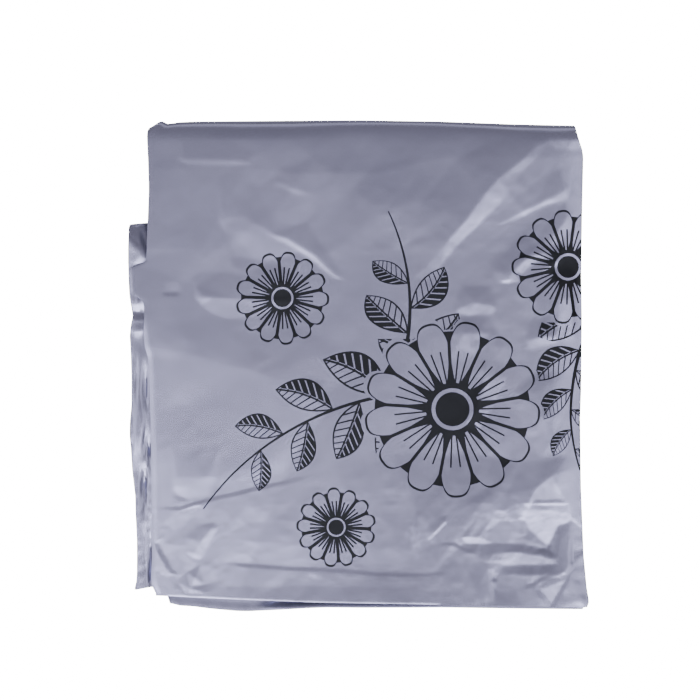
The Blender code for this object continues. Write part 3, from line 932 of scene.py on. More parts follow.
@dataclass(frozen=True)
class BackPleats:
    """The hollows and ridges into which the leaves behind the face open, left of the side line.

    The stack is the height above the packet's underside for which the table of pleat creases holds.
    """

    side: float = -205.0
    wander: float = 0.5
    wander_wave: float = 19.0
    wander_length: float = 1.5
    ridge: float = 0.5
    ridge_wave: float = 9.0
    stack: float = 18.0
    limits: tuple[float, float] = (-0.72, 0.6)

    def lift(self, x: np.ndarray, y: np.ndarray) -> np.ndarray:
        """Work out by what share of its height above the underside each point is lifted.

        Args:
            x: The points' X.
            y: The points' Y.

        Returns:
            The share, below 0 in the hollows.
        """
        near = x < self.side
        noisy = noise_field(x[near], y[near], self.wander_wave, NoiseLayer.PLEAT_WANDER)
        drift = self.wander * noisy
        at_x, at_y = x[near] + drift, y[near] + self.wander_length * drift
        raised = np.zeros_like(at_x)
        for crease in PLEAT_CREASES:
            raised += crease.rise(at_x, at_y)
        raised += self.ridge * ridged_noise(at_x, at_y, self.ridge_wave, NoiseLayer.PLEAT_RIDGES)
        lift = np.zeros_like(x)
        lift[near] = raised / self.stack
        return np.clip(lift, *self.limits)


@dataclass
class FoldedFilm:
    """The cover's one sheet of film, folded into its packet.

    Its leaves are numbered from the innermost one, 0, to the face, 3, and the folds between them are at
    the halves. The grid's rows run along the sheet's length, and its columns along its height.
    """

    cover_length: float = 2000.0
    cover_height: float = 1100.0
    leaves: int = 4
    film: float = 0.5
    leaf_pitch: float = 3.0
    half_gap: float = 1.5
    fold_steps: int = 10
    turn_steps: int = 20
    turn_bluntness: float = 1.45
    turn_crowding: float = 0.55
    turn_line: float = 254.0
    face_lift: float = 0.8
    hem_line: float = -272.0
    hem_reach: float = 70.0
    hem_pinch: float = 0.08
    hem_flat: float = 34.0
    hem_slope: float = 110.0
    side_pinch: float = 0.16
    side_line: float = 250.0
    side_reach: float = 60.0
    plain_start: float = -244.0
    edge_reach: float = 120.0
    face_spans: tuple[Span, ...] = (
        Span(24.0, 1.6), Span(130.0, 2.0), Span(290.0, 2.8), Span(488.0, 1.9), Span(500.0, 1.5),
    )
    front_spans: tuple[Span, ...] = (
        Span(-268.0, 1.3), Span(-214.0, 1.7), Span(-156.0, 1.3), Span(-120.0, 2.0), Span(30.0, 3.0),
        Span(136.0, 2.1), Span(161.4, 2.1), Span(165.0, 0.6), Span(254.0, 2.6),
    )
    rear_spans: tuple[Span, ...] = (
        Span(165.0, 20.0), Span(161.4, 0.6), Span(30.0, 3.5), Span(-240.0, 3.5), Span(-258.0, 3.0),
        Span(-272.0, 1.0),
    )
    lip_line: float = -255.5
    leaf_spans: tuple[Span, ...] = (
        Span(24.0, 1.5), Span(40.0, 4.0), Span(60.0, 10.0), Span(440.0, 38.0), Span(485.0, 22.5),
        Span(500.0, 7.5),
    )
    left_roll: float = 0.9
    left_roll_width: float = 8.0
    left_roll_least: float = 0.12
    left_roll_fade: Slope = Slope(30.0, 30.0)
    right_roll: float = 3.6
    right_roll_width: float = 33.0
    edge_follow: float = 0.35
    edge_follow_width: float = 60.0
    hem_bead: float = 0.18
    hem_bead_width: float = 1.2
    hem_bead_start: Slope = Slope(-224.0, 8.0)
    hem_bead_end: Slope = Slope(88.0, 10.0)
    base_curl: float = 6.5
    base_curl_plain: float = 0.15
    base_curl_width: float = 8.5
    base_curl_start: Slope = Slope(-122.0, 50.0)
    base_curl_end: Slope = Slope(60.0, 60.0)
    base_lip: float = 2.2
    lip_roughness: float = 0.6
    lip_wave: float = 9.0
    smooth_angle: float = 50.0
    face_relief: FaceRelief = FaceRelief()
    pleats: BackPleats = BackPleats()
    material: bpy.types.Material | None = field(default=None, repr=False)

    # How far up and down the columns are laid out, to read the tables of the top end and the hems.
    END_LINES = (268.0, -268.0)
    # How far up and down a fold's slant is measured.
    SLANT_STEP = 1.5
    # How many grid lines away the hidden skin keeps clear of the face's hollows.
    CLEAR_LINES = 4
    # A column this little past the end of a span still counts as in it.
    SLACK = 0.01

    def __post_init__(self) -> None:
        """Lay out the grid's lines and work out the sizes that follow from the others."""
        self.leaf_width = self.cover_length / self.leaves
        self.outermost = self.half_gap + (self.leaves - 1) * self.leaf_pitch
        self.fold_radius = self.leaf_pitch / 2
        self._lay_columns()
        self._lay_rows()

    def _lay_columns(self) -> None:
        """Lay out the columns along the sheet's length: leaf by leaf, with the folds between them."""
        leaf, across, level, bulge, kind = [], [], [], [], []
        for number in range(self.leaves):
            is_face = number == self.leaves - 1
            shares = grid_lines(0.0, self.face_spans if is_face else self.leaf_spans) / self.leaf_width
            rightward = number % 2 == 0
            for share in shares if rightward else shares[::-1]:
                leaf.append(number)
                across.append(share)
                level.append(number * self.leaf_pitch)
                bulge.append(0.0)
                near_left = share * self.leaf_width <= self.leaf_spans[0].end + self.SLACK
                kind.append(Stretch.FACE if is_face else Stretch.PLEAT if near_left else Stretch.HIDDEN)
            if not is_face:
                for step in range(1, self.fold_steps):
                    angle = math.pi * (step / self.fold_steps - 0.5)
                    leaf.append(number + 0.5)
                    across.append(1.0 if rightward else 0.0)
                    level.append((number + 0.5) * self.leaf_pitch + self.fold_radius * math.sin(angle))
                    bulge.append(self.fold_radius * math.cos(angle) * (1 if rightward else -1))
                    kind.append(Stretch.RIGHT_FOLD if rightward else Stretch.LEFT_FOLD)
        self.leaf, self.across = np.array(leaf, float), np.array(across)
        self.level, self.bulge = np.array(level), np.array(bulge)
        self.kind = kind
        flat = np.where(self.leaf % 2 < 1, self.across, 1 - self.across)
        walked = np.floor(self.leaf) + np.where(self.leaf % 1 > 0, 1.0, flat)
        self.cut_u = (self.leaves - walked) * self.leaf_width

    def _lay_rows(self) -> None:
        """Lay out the rows along the sheet's height: the face's half, the turn and the lower half."""
        front = grid_lines(self.hem_line, self.front_spans)
        rear = grid_lines(self.turn_line, self.rear_spans)
        even = np.arange(1, self.turn_steps) / self.turn_steps
        # The rows stand closer where the turn starts and ends, because it bends fast there.
        turn = math.pi * (even - self.turn_crowding * np.sin(2 * math.pi * even) / (2 * math.pi))
        self.row_y = np.concatenate([front, np.full(len(turn), self.turn_line), rear])
        self.row_angle = np.concatenate([np.zeros(len(front)), turn, np.full(len(rear), math.pi)])
        lower = [Half.LIP if at < self.lip_line else Half.REAR for at in rear]
        self.half = [Half.FRONT] * len(front) + [Half.TURN] * len(turn) + lower
        arc = self.cover_height - 2 * (self.turn_line - self.hem_line)
        self.cut_v = np.concatenate([
            front - self.hem_line,
            self.turn_line - self.hem_line + arc * turn / math.pi,
            self.cover_height - (rear - self.hem_line),
        ])

    def _sides(self, turned: np.ndarray, y: np.ndarray) -> tuple[np.ndarray, np.ndarray]:
        """Find where each column's leaf starts on the left and ends on the right.

        Args:
            turned: How far each row has turned over the top end, from 0 to 1.
            y: The height of every point.

        Returns:
            The left and the right bound at every point.
        """
        left, right = np.empty_like(y), np.empty_like(y)
        share = turned[:, None]
        groups = (
            (self.leaf == 3, "face_end", "under_end", "face_fold", "under_fold"),
            ((self.leaf > 1) & (self.leaf < 3), "face_back", "under_back", "face_fold", "under_fold"),
            ((self.leaf > 0) & (self.leaf <= 1), "face_back", "under_back", "core_fold", "under_core"),
            (self.leaf == 0, "core_end", "under_core", "core_fold", "under_core"),
        )
        for own, left_front, left_rear, right_front, right_rear in groups:
            at = y[:, own]
            left[:, own] = read(LEFT, left_front, at) * (1 - share) + read(LEFT, left_rear, at) * share
            right[:, own] = read(RIGHT, right_front, at) * (1 - share) + read(RIGHT, right_rear, at) * share
        return left, right

    def _spread(self, left: np.ndarray, right: np.ndarray) -> np.ndarray:
        """Lay each column between its leaf's two bounds, and keep the film unstretched away from them.

        Args:
            left: Where each point's leaf starts on the left.
            right: Where each point's leaf ends on the right.

        Returns:
            Where each point lies across the packet.
        """
        from_left = self.across * self.leaf_width
        near_left = nearness(from_left, self.edge_reach)
        near_right = nearness(self.leaf_width - from_left, self.edge_reach)
        pull_left = (left - self.plain_start) * near_left
        pull_right = (right - (self.plain_start + self.leaf_width)) * near_right
        return self.plain_start + from_left + pull_left + pull_right

    def _hems(self, plain_x: np.ndarray) -> np.ndarray:
        """Find where each column's hem lies, on every row's own half.

        Args:
            plain_x: Where each column lies across the packet.

        Returns:
            The hem's height for every row and column.
        """
        names = (
            ("core", "under_core"), ("third", "under_third"), ("second", "under_second"), ("face", "base"),
        )
        both = []
        whole = np.floor(self.leaf).astype(int)
        above = np.minimum(whole + 1, self.leaves - 1)
        share = np.where(self.leaf % 1 > 0, 0.5, 0.0)
        for columns in zip(*names):
            by_leaf = [read(HEMS, column, plain_x) for column in columns]
            both.append(np.choose(whole, by_leaf) * (1 - share) + np.choose(above, by_leaf) * share)
        lower_row = (self.row_angle > math.pi / 2)[:, None]
        return np.where(lower_row, both[1][None, :], both[0][None, :])

    def _middle(self) -> np.ndarray:
        """Work out the film's middle surface.

        Returns:
            The points in millimetres, by row, column and axis.
        """
        angle = self.row_angle[:, None]
        reach = self.half_gap + self.level[None, :]
        top_x, hem_x = (
            self._spread(*self._sides(np.zeros(1), np.full((1, len(self.leaf)), at)))[0]
            for at in self.END_LINES
        )
        end = read(TOP, "y", top_x)[None, :]
        turning = (self.row_angle > 0) & (self.row_angle < math.pi)
        blunt = 1 / self.turn_bluntness
        out = np.sin(angle).clip(0, 1) ** blunt
        over = self.turn_line + (end - self.turn_line - self.film / 2) * out * (reach / self.outermost)
        y = np.where(turning[:, None], over, self.row_y[:, None])
        hem_share = 1 - ease((self.row_y[:, None] - self.hem_line) / self.hem_reach)
        y = y + (self._hems(hem_x) - self.hem_line) * hem_share
        turned = (1 - np.cos(self.row_angle)) / 2
        left, right = self._sides(turned, y)
        x = self._spread(left, right)
        ahead = self._sides(turned, y + self.SLANT_STEP)
        astern = self._sides(turned, y - self.SLANT_STEP)
        on_left = (self.bulge < 0)[None, :]
        slope = np.where(on_left, ahead[0] - astern[0], ahead[1] - astern[1]) / (2 * self.SLANT_STEP)
        length = np.hypot(1, slope)
        x = x + self.bulge[None, :] / length
        y = y - self.bulge[None, :] * slope / length
        z = self._heights(x, y, left, right, reach)
        return np.stack([x, y, z], axis=-1)

    def _heights(
        self, x: np.ndarray, y: np.ndarray, left: np.ndarray, right: np.ndarray, reach: np.ndarray
    ) -> np.ndarray:
        """Work out how high each point of the middle surface lies above the packet's own middle plane.

        Args:
            x: The points' X.
            y: The points' Y.
            left: Where each point's leaf starts on the left.
            right: Where each point's leaf ends on the right.
            reach: How far each column's leaf lies from the packet's middle plane.

        Returns:
            The heights.
        """
        tall = np.cos(self.row_angle)[:, None]
        tall = np.sign(tall) * np.abs(tall) ** (1 / self.turn_bluntness)
        upper = np.maximum(0.0, tall)
        hems = self.hem_pinch * (1 - ease((y - self.hem_line - self.hem_flat) / self.hem_slope))
        from_sides = (x + self.side_line, self.side_line - x)
        sides = sum(1 - ease(away / self.side_reach) for away in from_sides)
        loft = 1 - (hems + self.side_pinch * sides) * upper
        shape = sum(crumple.rise(x, y) for crumple in STACK_SHAPE) * CREASE_DEPTH
        z = reach * tall * loft + shape * upper * reach / self.outermost
        face = self.leaf == 3
        relief = np.zeros_like(z)
        relief[:, face] = self.face_relief.rise(x[:, face], y[:, face]) + self.face_lift
        least = self.left_roll_least
        strength = least + (1 - least) * (1 - self.left_roll_fade.at(y))
        roll = self.left_roll * strength * nearness(x - left, self.left_roll_width)
        roll += self.right_roll * nearness(right - x, self.right_roll_width)
        relief[:, face] -= roll[:, face]
        # The face's own fold and the leaf behind it follow the face's edge part of the way down.
        fold = (self.leaf > 2) & (self.leaf < 3)
        edge = relief[:, np.flatnonzero(face)[:1]]
        share = ((self.level - 2 * self.leaf_pitch) / self.leaf_pitch)[None, fold]
        relief[:, fold] = edge * (self.edge_follow + (1 - self.edge_follow) * share)
        second = edge * self.edge_follow * nearness(right - x, self.edge_follow_width)
        relief = np.where((self.leaf == 2)[None, :], second, relief)
        z = z + (relief - self._hem_roll(x, y, face)) * upper
        lift = self.pleats.lift(x, y)
        lift[:, face] = 0
        z = -self.outermost + (z + self.outermost) * (1 + lift)
        return z + self._base_curl(x, face)

    def _hem_roll(self, x: np.ndarray, y: np.ndarray, face: np.ndarray) -> np.ndarray:
        """Round the face's hem off.

        Args:
            x: The points' X.
            y: The points' Y.
            face: Which columns are the face's.

        Returns:
            How far each point sinks.
        """
        sunk = self.hem_bead * nearness(y - read(HEMS, "face", x), self.hem_bead_width)
        sharp = self.hem_bead_start.at(x) * (1 - self.hem_bead_end.at(x))
        return np.where(face[None, :], sunk * sharp, 0.0)

    def _base_curl(self, x: np.ndarray, face: np.ndarray) -> np.ndarray:
        """Curl the lowest leaf's hem up where it shows below the face, so that it ends in a thin lip.

        Args:
            x: The points' X.
            face: Which columns are the face's leaf, whose lower half is the lowest leaf.

        Returns:
            How far each point is lifted.
        """
        rear = (self.row_angle == math.pi)[:, None]
        from_lip = self.row_y - self.hem_line - self.base_lip
        near_hem = ease(1 - from_lip / self.base_curl_width)[:, None]
        along = self.base_curl_start.at(x) * (1 - self.base_curl_end.at(x))
        uneven = np.zeros_like(x)
        lip = np.ix_(np.flatnonzero(rear[:, 0] & (self.row_y < self.lip_line)), np.flatnonzero(face))
        noisy = noise_field(x[lip], np.zeros_like(x[lip]), self.lip_wave, NoiseLayer.LIP)
        uneven[lip] = self.lip_roughness * np.abs(noisy)
        curl = self.base_curl_plain + uneven + (self.base_curl - self.base_curl_plain) * along
        return np.where(face[None, :] & rear, curl * near_hem, 0.0)

    def _cells(self, skin: Skin) -> tuple[list[tuple[int, int, int, int]], np.ndarray]:
        """Divide one skin's grid into the cells that become its mesh's faces.

        Args:
            skin: Which side of the film.

        Returns:
            Each cell's first and last row and column, and which grid points are corners of a cell.
        """
        row_breaks = _breaks(self.half)
        column_breaks = _breaks(self.kind)
        cells = []
        used = np.zeros((len(self.half), len(self.kind)), bool)
        for top, bottom in zip(row_breaks, row_breaks[1:]):
            for first, last in zip(column_breaks, column_breaks[1:]):
                by_stretch = COARSENESS[skin, self.half[top + 1]]
                rows_apart, columns_apart = by_stretch[self.kind[(first + last) // 2]]
                rows = [*range(top, bottom, rows_apart), bottom]
                columns = [*range(first, last, columns_apart), last]
                for i, ni in zip(rows, rows[1:]):
                    for j, nj in zip(columns, columns[1:]):
                        cells.append((i, ni, j, nj))
                used[np.ix_(rows, columns)] = True
        return cells, used

    def _skins(self) -> dict[Skin, np.ndarray]:
        """Lay the film's two skins beside its middle surface.

        Returns:
            Each skin's points in millimetres, by row, column and axis.
        """
        middle = self._middle()
        normal = np.cross(np.gradient(middle, axis=0), np.gradient(middle, axis=1))
        normal /= np.linalg.norm(normal, axis=-1, keepdims=True)
        outer = middle + normal * self.film / 2
        inner = middle - normal * self.film / 2
        inner[..., 2] -= self._clearance(middle[..., 2])
        return {Skin.OUTER: outer, Skin.INNER: inner}

    def build(self) -> bpy.types.Object:
        """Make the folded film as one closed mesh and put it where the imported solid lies.

        Returns:
            The finished piece.
        """
        cells = {skin: self._cells(skin) for skin in Skin}
        rim = np.ones((len(self.half), len(self.kind)), bool)
        rim[1:-1, 1:-1] = False
        shared = (cells[Skin.OUTER][1] | cells[Skin.INNER][1]) & rim
        numbers, points, cuts = {}, [], []
        for skin, spots in self._skins().items():
            used = cells[skin][1] | shared
            numbers[skin] = np.full(used.shape, -1)
            numbers[skin][used] = np.arange(used.sum()) + sum(len(p) for p in points)
            points.append(spots[used])
            rows, columns = np.nonzero(used)
            cuts.append(np.stack([self.cut_u[columns], self.cut_v[rows]], axis=-1))
        faces = []
        # A cell's face takes in the neighbours' corners that lie on its sides, so that no gap is left.
        for skin in Skin:
            n = numbers[skin]
            for i, ni, j, nj in cells[skin][0]:
                loop = [*n[i, j:nj], *n[i:ni, nj], *n[ni, nj:j:-1], *n[ni:i:-1, j]]
                loop = [int(v) for v in loop if v >= 0]
                faces.append(loop[::-1] if skin is Skin.OUTER else loop)
        faces += self._rim_faces(numbers)
        mesh = bpy.data.meshes.new("cover_film")
        mesh.from_pydata(self._placed(np.concatenate(points)).tolist(), [], faces)
        cut = np.concatenate(cuts) * MM
        corner = np.empty(len(mesh.loops), np.int32)
        mesh.loops.foreach_get("vertex_index", corner)
        mesh.uv_layers.new(name="cut").data.foreach_set("uv", cut[corner].ravel())
        piece = bpy.data.objects.new("cover_film", mesh)
        bpy.context.scene.collection.objects.link(piece)
        bpy.ops.object.select_all(action="DESELECT")
        piece.select_set(True)
        bpy.context.view_layer.objects.active = piece
        bpy.ops.object.shade_smooth_by_angle(angle=math.radians(self.smooth_angle))
        return piece

    def _clearance(self, height: np.ndarray) -> np.ndarray:
        """Find how much lower the face's hidden skin lies, for its wide faces to stay under the fine ones.

        Args:
            height: The middle surface's heights.

        Returns:
            How far to lower each point: nothing along the rim, and nothing away from the face.
        """
        front = np.array([half is Half.FRONT for half in self.half])[:, None]
        face = np.array([kind is Stretch.FACE for kind in self.kind])[None, :]
        lowest = height.copy()
        for axis in (0, 1):
            widened = lowest.copy()
            for step in range(-self.CLEAR_LINES, self.CLEAR_LINES + 1):
                widened = np.minimum(widened, _shifted(lowest, step, axis))
            lowest = widened
        drop = np.where(front & face, height - lowest, 0.0)
        drop[0, :] = drop[-1, :] = 0
        drop[:, 0] = drop[:, -1] = 0
        return drop

    def _rim_faces(self, numbers: dict[Skin, np.ndarray]) -> list[list[int]]:
        """Join the two skins along the sheet's four cut edges.

        Args:
            numbers: Each skin's vertex number at every grid point, or -1.

        Returns:
            The faces, as vertex numbers.
        """
        faces = []
        outer, inner = numbers[Skin.OUTER], numbers[Skin.INNER]
        edges = (
            (outer[0, :], inner[0, :], False), (outer[:, -1], inner[:, -1], False),
            (outer[-1, :], inner[-1, :], True), (outer[:, 0], inner[:, 0], True),
        )
        for near, far, flip in edges:
            kept = near >= 0
            a, b = near[kept].tolist(), far[kept].tolist()
            for k in range(len(a) - 1):
                face = [b[k + 1], b[k], a[k], a[k + 1]]
                faces.append(face[::-1] if flip else face)
        return faces

    def _placed(self, spots: np.ndarray) -> np.ndarray:
        """Turn millimetres into metres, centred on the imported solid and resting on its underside.

        Args:
            spots: The film's points in millimetres.

        Returns:
            The points in metres.
        """
        low, high = (np.array(corner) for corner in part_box("cover_sheet"))
        middle = (spots.min(axis=0) + spots.max(axis=0)) / 2
        shift = (low + high) / 2 - middle * MM
        shift[2] = low[2] - spots[:, 2].min() * MM
        return spots * MM + shift

    def dress(self, piece: bpy.types.Object) -> None:
        """Give the film its finish and say how it goes with the frame.

        Args:
            piece: The film's object.
        """
        piece.data.materials.append(self.material)
        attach(piece, "root")
        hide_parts("cover_sheet")


def _breaks(kinds: list[Enum]) -> list[int]:
    """Find where a list of kinds changes, with its first and last place.

    Args:
        kinds: The kinds in order.

    Returns:
        The places, as numbers into the list.
    """
    changes = [k for k in range(1, len(kinds)) if kinds[k] is not kinds[k - 1]]
    return [0, *changes, len(kinds) - 1]


def _shifted(values: np.ndarray, step: int, axis: int) -> np.ndarray:
    """Shift a grid by some lines along an axis, repeating its edge.

    Args:
        values: The grid.
        step: By how many lines to shift it.
        axis: The axis to shift it along.

    Returns:
        The shifted grid.
    """
    index = np.clip(np.arange(values.shape[axis]) + step, 0, values.shape[axis] - 1)
    return np.take(values, index, axis=axis)


# ---------------------------------------------------------------- finishes


def _maths(operation: str) -> Callable[..., "Formula"]:
    """Make one of Formula's operators.

    Args:
        operation: What its Math node does.

    Returns:
        The method.
    """

    def work(self: "Formula", *others: "Formula | float") -> "Formula":
        """Add a Math node that works on this number and the others, in that order."""
        terms = [term.socket if isinstance(term, Formula) else term for term in (self, *others)]
        return Formula(self.tree, calculate(self.tree, operation, *terms))

    return work


@dataclass(frozen=True)
class Formula:
    """A number that changes over the film. Each operator adds the Math node that works it out."""

    tree: bpy.types.NodeTree
    socket: bpy.types.NodeSocket

    __add__, __sub__ = _maths("ADD"), _maths("SUBTRACT")
    __mul__, __truediv__ = _maths("MULTIPLY"), _maths("DIVIDE")
    __lt__, __gt__ = _maths("LESS_THAN"), _maths("GREATER_THAN")
    __pow__, __abs__ = _maths("POWER"), _maths("ABSOLUTE")
    __or__, least = _maths("MAXIMUM"), _maths("MINIMUM")
    root, fraction, floor = _maths("SQRT"), _maths("FRACT"), _maths("FLOOR")
    arctan2 = _maths("ARCTAN2")

    def __rsub__(self, other: float) -> "Formula":
        """Take this number from a plain one."""
        return self * -1.0 + other


@dataclass(frozen=True)
class Daisy:
    """One daisy of the print: its middle on the flat film, its turn in degrees and its radius.

    The other lengths are shares of the radius, and those in lines are multiples of the ink line's width.
    """

    u: float
    v: float
    turn: float
    radius: float

    PETALS = 13
    TIP_ROUNDING = 0.30
    TIP_SHARPNESS = 3.0
    CLEAR = 0.045
    BEHIND = 0.88
    BEHIND_CLEAR = 0.9
    SIDE_LINES = 3.0
    VEIN_AT = 0.34
    VEIN_LINES = 1.5
    VEIN_END = 0.66
    SHADE = 0.30
    SHADE_AT_SIDES = 0.34
    RING = 0.215
    RING_HALF = 0.022

    @classmethod
    def draw(cls, x: Formula, y: Formula, line: Formula) -> tuple[Formula, Formula]:
        """Draw a daisy of radius 1: a ring of rounded petals with more behind, and a thin pale ring.

        Args:
            x: The place from the middle.
            y: The place from the middle, along the other axis.
            line: The width of the ink line.

        Returns:
            Where ink is, and what the daisy covers.
        """
        r = (x * x + y * y).root()
        petal = (y.arctan2(x) * (cls.PETALS / (2 * math.pi))).fraction()
        aside = abs(petal - 0.5) * 2.0
        rounding = aside ** cls.TIP_SHARPNESS
        depth = rounding * -cls.TIP_ROUNDING + 1.0 - r
        petals = depth > 0.0
        covered = (depth > -cls.CLEAR) | (r < cls.BEHIND_CLEAR)
        side = (1.0 - aside) * r < line * cls.SIDE_LINES
        vein = (abs(aside - cls.VEIN_AT) * r < line * cls.VEIN_LINES) * (r < cls.VEIN_END)
        shade = r < rounding * cls.SHADE_AT_SIDES + cls.SHADE
        drawn = ((depth < line) | side | vein | shade) * petals
        wedge = (r < cls.BEHIND) * (1.0 - petals)
        return (drawn | wedge) * (abs(r - cls.RING) > cls.RING_HALF), covered


@dataclass(frozen=True)
class Branch:
    """One leafy branch: the middle and radius of its stem's arc and the arc's middle direction in degrees.

    Then come half the stem's length and the distance between leaves. A leaf's own sizes are shares of that
    distance, or of the leaf's length once it is drawn.
    """

    u: float
    v: float
    turn: float
    radius: float
    half_length: float
    leaf_pitch: float

    LEAF_LEAN = math.radians(46.0)
    LEAF_LENGTH = 1.41
    LEAF_WIDTH = 0.325
    LEAF_SIZE = 0.80
    THINNING = 0.42
    LEAF_BEND = 0.8
    LEAF_BELLY = 4.0
    OUTLINE = 0.12
    RIB = 0.06
    VEINS = 8.0
    VEIN_SLANT = 0.20
    VEIN_SHARE = 0.22
    DARK_FROM = 0.10
    STEM_HALF = 1.9
    REACH = 70.0

    @classmethod
    def draw(
        cls, x: Formula, y: Formula, radius: Formula, half_length: Formula, leaf_pitch: Formula
    ) -> Formula:
        """Draw a branch whose stem lies on the circle of radius 1, with leaves on both sides in turn.

        Args:
            x: The place from the arc's middle.
            y: The place from the arc's middle, along the other axis.
            radius: The arc's radius.
            half_length: Half the stem's length.
            leaf_pitch: The distance between leaves.

        Returns:
            Where ink is.
        """
        along = y.arctan2(x) * radius
        off_stem = ((x * x + y * y).root() - 1.0) * radius
        away = abs(off_stem)
        size = along / half_length * -cls.THINNING + cls.LEAF_SIZE
        leaf_count = along / leaf_pitch + (off_stem > 0.0) * 0.5
        whole = abs(leaf_count.floor() + 0.5) < half_length / leaf_pitch
        scale = size * leaf_pitch
        ahead, aside = leaf_count.fraction() * leaf_pitch / scale, away / scale
        # From here on, s goes from 0 to 1 along the leaf's rib and t goes across it.
        cos, sin = math.cos(cls.LEAF_LEAN), math.sin(cls.LEAF_LEAN)
        s = ahead * (cos / cls.LEAF_LENGTH) + aside * (sin / cls.LEAF_LENGTH)
        t = ahead * (-sin / cls.LEAF_WIDTH) + aside * (cos / cls.LEAF_WIDTH)
        lens = s * (1.0 - s)
        t = lens * -cls.LEAF_BEND + t
        off_rib = abs(t)
        depth = lens * cls.LEAF_BELLY - off_rib
        vein = ((off_rib * -cls.VEIN_SLANT + s) * cls.VEINS).fraction() < cls.VEIN_SHARE
        fill = abs((t > cls.DARK_FROM) - vein) | (depth < cls.OUTLINE) | (off_rib < cls.RIB)
        leaf = (depth > 0.0) * whole * fill
        stem = (away < size * cls.STEM_HALF) * (abs(along) < half_length)
        return (leaf | stem) * (away < cls.REACH)


@dataclass(frozen=True)
class FloralPrint:
    """A plain pattern of daisies and leafy branches in one black ink, laid out on the flat film."""

    daisies: tuple[Daisy, ...] = (
        Daisy(352.0, 222.0, 10.0, 102.0), Daisy(156.0, 350.0, 40.0, 54.0),
        Daisy(486.0, 386.0, 0.0, 66.0), Daisy(218.0, 86.0, 25.0, 46.0),
    )
    branches: tuple[Branch, ...] = (
        Branch(330.0, -88.0, 116.0, 330.0, 160.0, 64.0),
        Branch(48.0, 340.0, 6.0, 255.0, 87.0, 58.0),
        Branch(722.0, 222.0, 180.0, 232.0, 92.0, 46.0),
    )
    line: float = 2.6
    branch_edge_u: float = 420.0
    branch_edge_v: float = 322.0
    branch_top_v: float = 303.0

    def mask(self, tree: bpy.types.NodeTree, cut: bpy.types.NodeSocket) -> bpy.types.NodeSocket:
        """Draw the print with nodes.

        Args:
            tree: The film's node tree.
            cut: The place on the flat film, in metres.

        Returns:
            A socket that is 1 on ink and 0 beside it.
        """
        branch_ink = Branch.draw(*self._nearest_branch(tree, cut))
        daisy_ink, covered = Daisy.draw(*self._nearest_daisy(tree, cut))
        return (branch_ink * (1.0 - covered) + daisy_ink).socket

    def _local(
        self, tree: bpy.types.NodeTree, cut: bpy.types.NodeSocket, motif: Daisy | Branch
    ) -> bpy.types.NodeSocket:
        """Find the place on the flat film as a motif sees it: from its middle, in its radius.

        Args:
            tree: The node tree to add to.
            cut: The place on the flat film.
            motif: The daisy or branch.

        Returns:
            The place as a vector.
        """
        return add_node(tree, "Mapping", {"vector_type": "TEXTURE"}, {
            "Vector": cut,
            "Location": (motif.u * MM, motif.v * MM, 0.0),
            "Rotation": (0.0, 0.0, math.radians(motif.turn)),
            "Scale": (motif.radius * MM, motif.radius * MM, 1.0),
        }).outputs[0]

    def _split(self, tree: bpy.types.NodeTree, place: bpy.types.NodeSocket) -> tuple[Formula, Formula]:
        """Take a place's first two coordinates."""
        outputs = add_node(tree, "SeparateXYZ", {}, {0: place}).outputs
        return Formula(tree, outputs[0]), Formula(tree, outputs[1])

    def _nearest_daisy(self, tree: bpy.types.NodeTree, cut: bpy.types.NodeSocket) -> tuple[Formula, ...]:
        """Pick the daisy that each place is nearest to, in that daisy's radius.

        Args:
            tree: The node tree to add to.
            cut: The place on the flat film.

        Returns:
            What the daisy's drawing starts from.
        """
        place = line = best = None
        for daisy in self.daisies:
            own = self._local(tree, cut, daisy)
            away = Formula(tree, add_node(tree, "VectorMath", {"operation": "LENGTH"}, {0: own}).outputs[1])
            width = self.line / daisy.radius
            if best is None:
                place, line, best = own, width, away
                continue
            nearer = (away < best).socket
            place = mix(tree, nearer, place, own, "VECTOR")
            line = mix(tree, nearer, line, width)
            best = away.least(best)
        return *self._split(tree, place), Formula(tree, line)

    def _nearest_branch(self, tree: bpy.types.NodeTree, cut: bpy.types.NodeSocket) -> tuple[Formula, ...]:
        """Pick the branch whose part of the film each place is in.

        Args:
            tree: The node tree to add to.
            cut: The place on the flat film.

        Returns:
            What the branch's drawing starts from.
        """
        u, v = self._split(tree, cut)
        upper = v > self.branch_top_v * MM
        lower_right = (u > self.branch_edge_u * MM) * (v < self.branch_edge_v * MM)
        first, second, third = self.branches
        others = ((upper.socket, second), (lower_right.socket, third))
        place = self._local(tree, cut, first)
        for chosen, branch in others:
            place = mix(tree, chosen, place, self._local(tree, cut, branch), "VECTOR")
        sizes = []
        for name in ("radius", "half_length", "leaf_pitch"):
            value = getattr(first, name)
            for chosen, branch in others:
                value = mix(tree, chosen, value, getattr(branch, name))
            sizes.append(Formula(tree, value))
        return *self._split(tree, place), *sizes


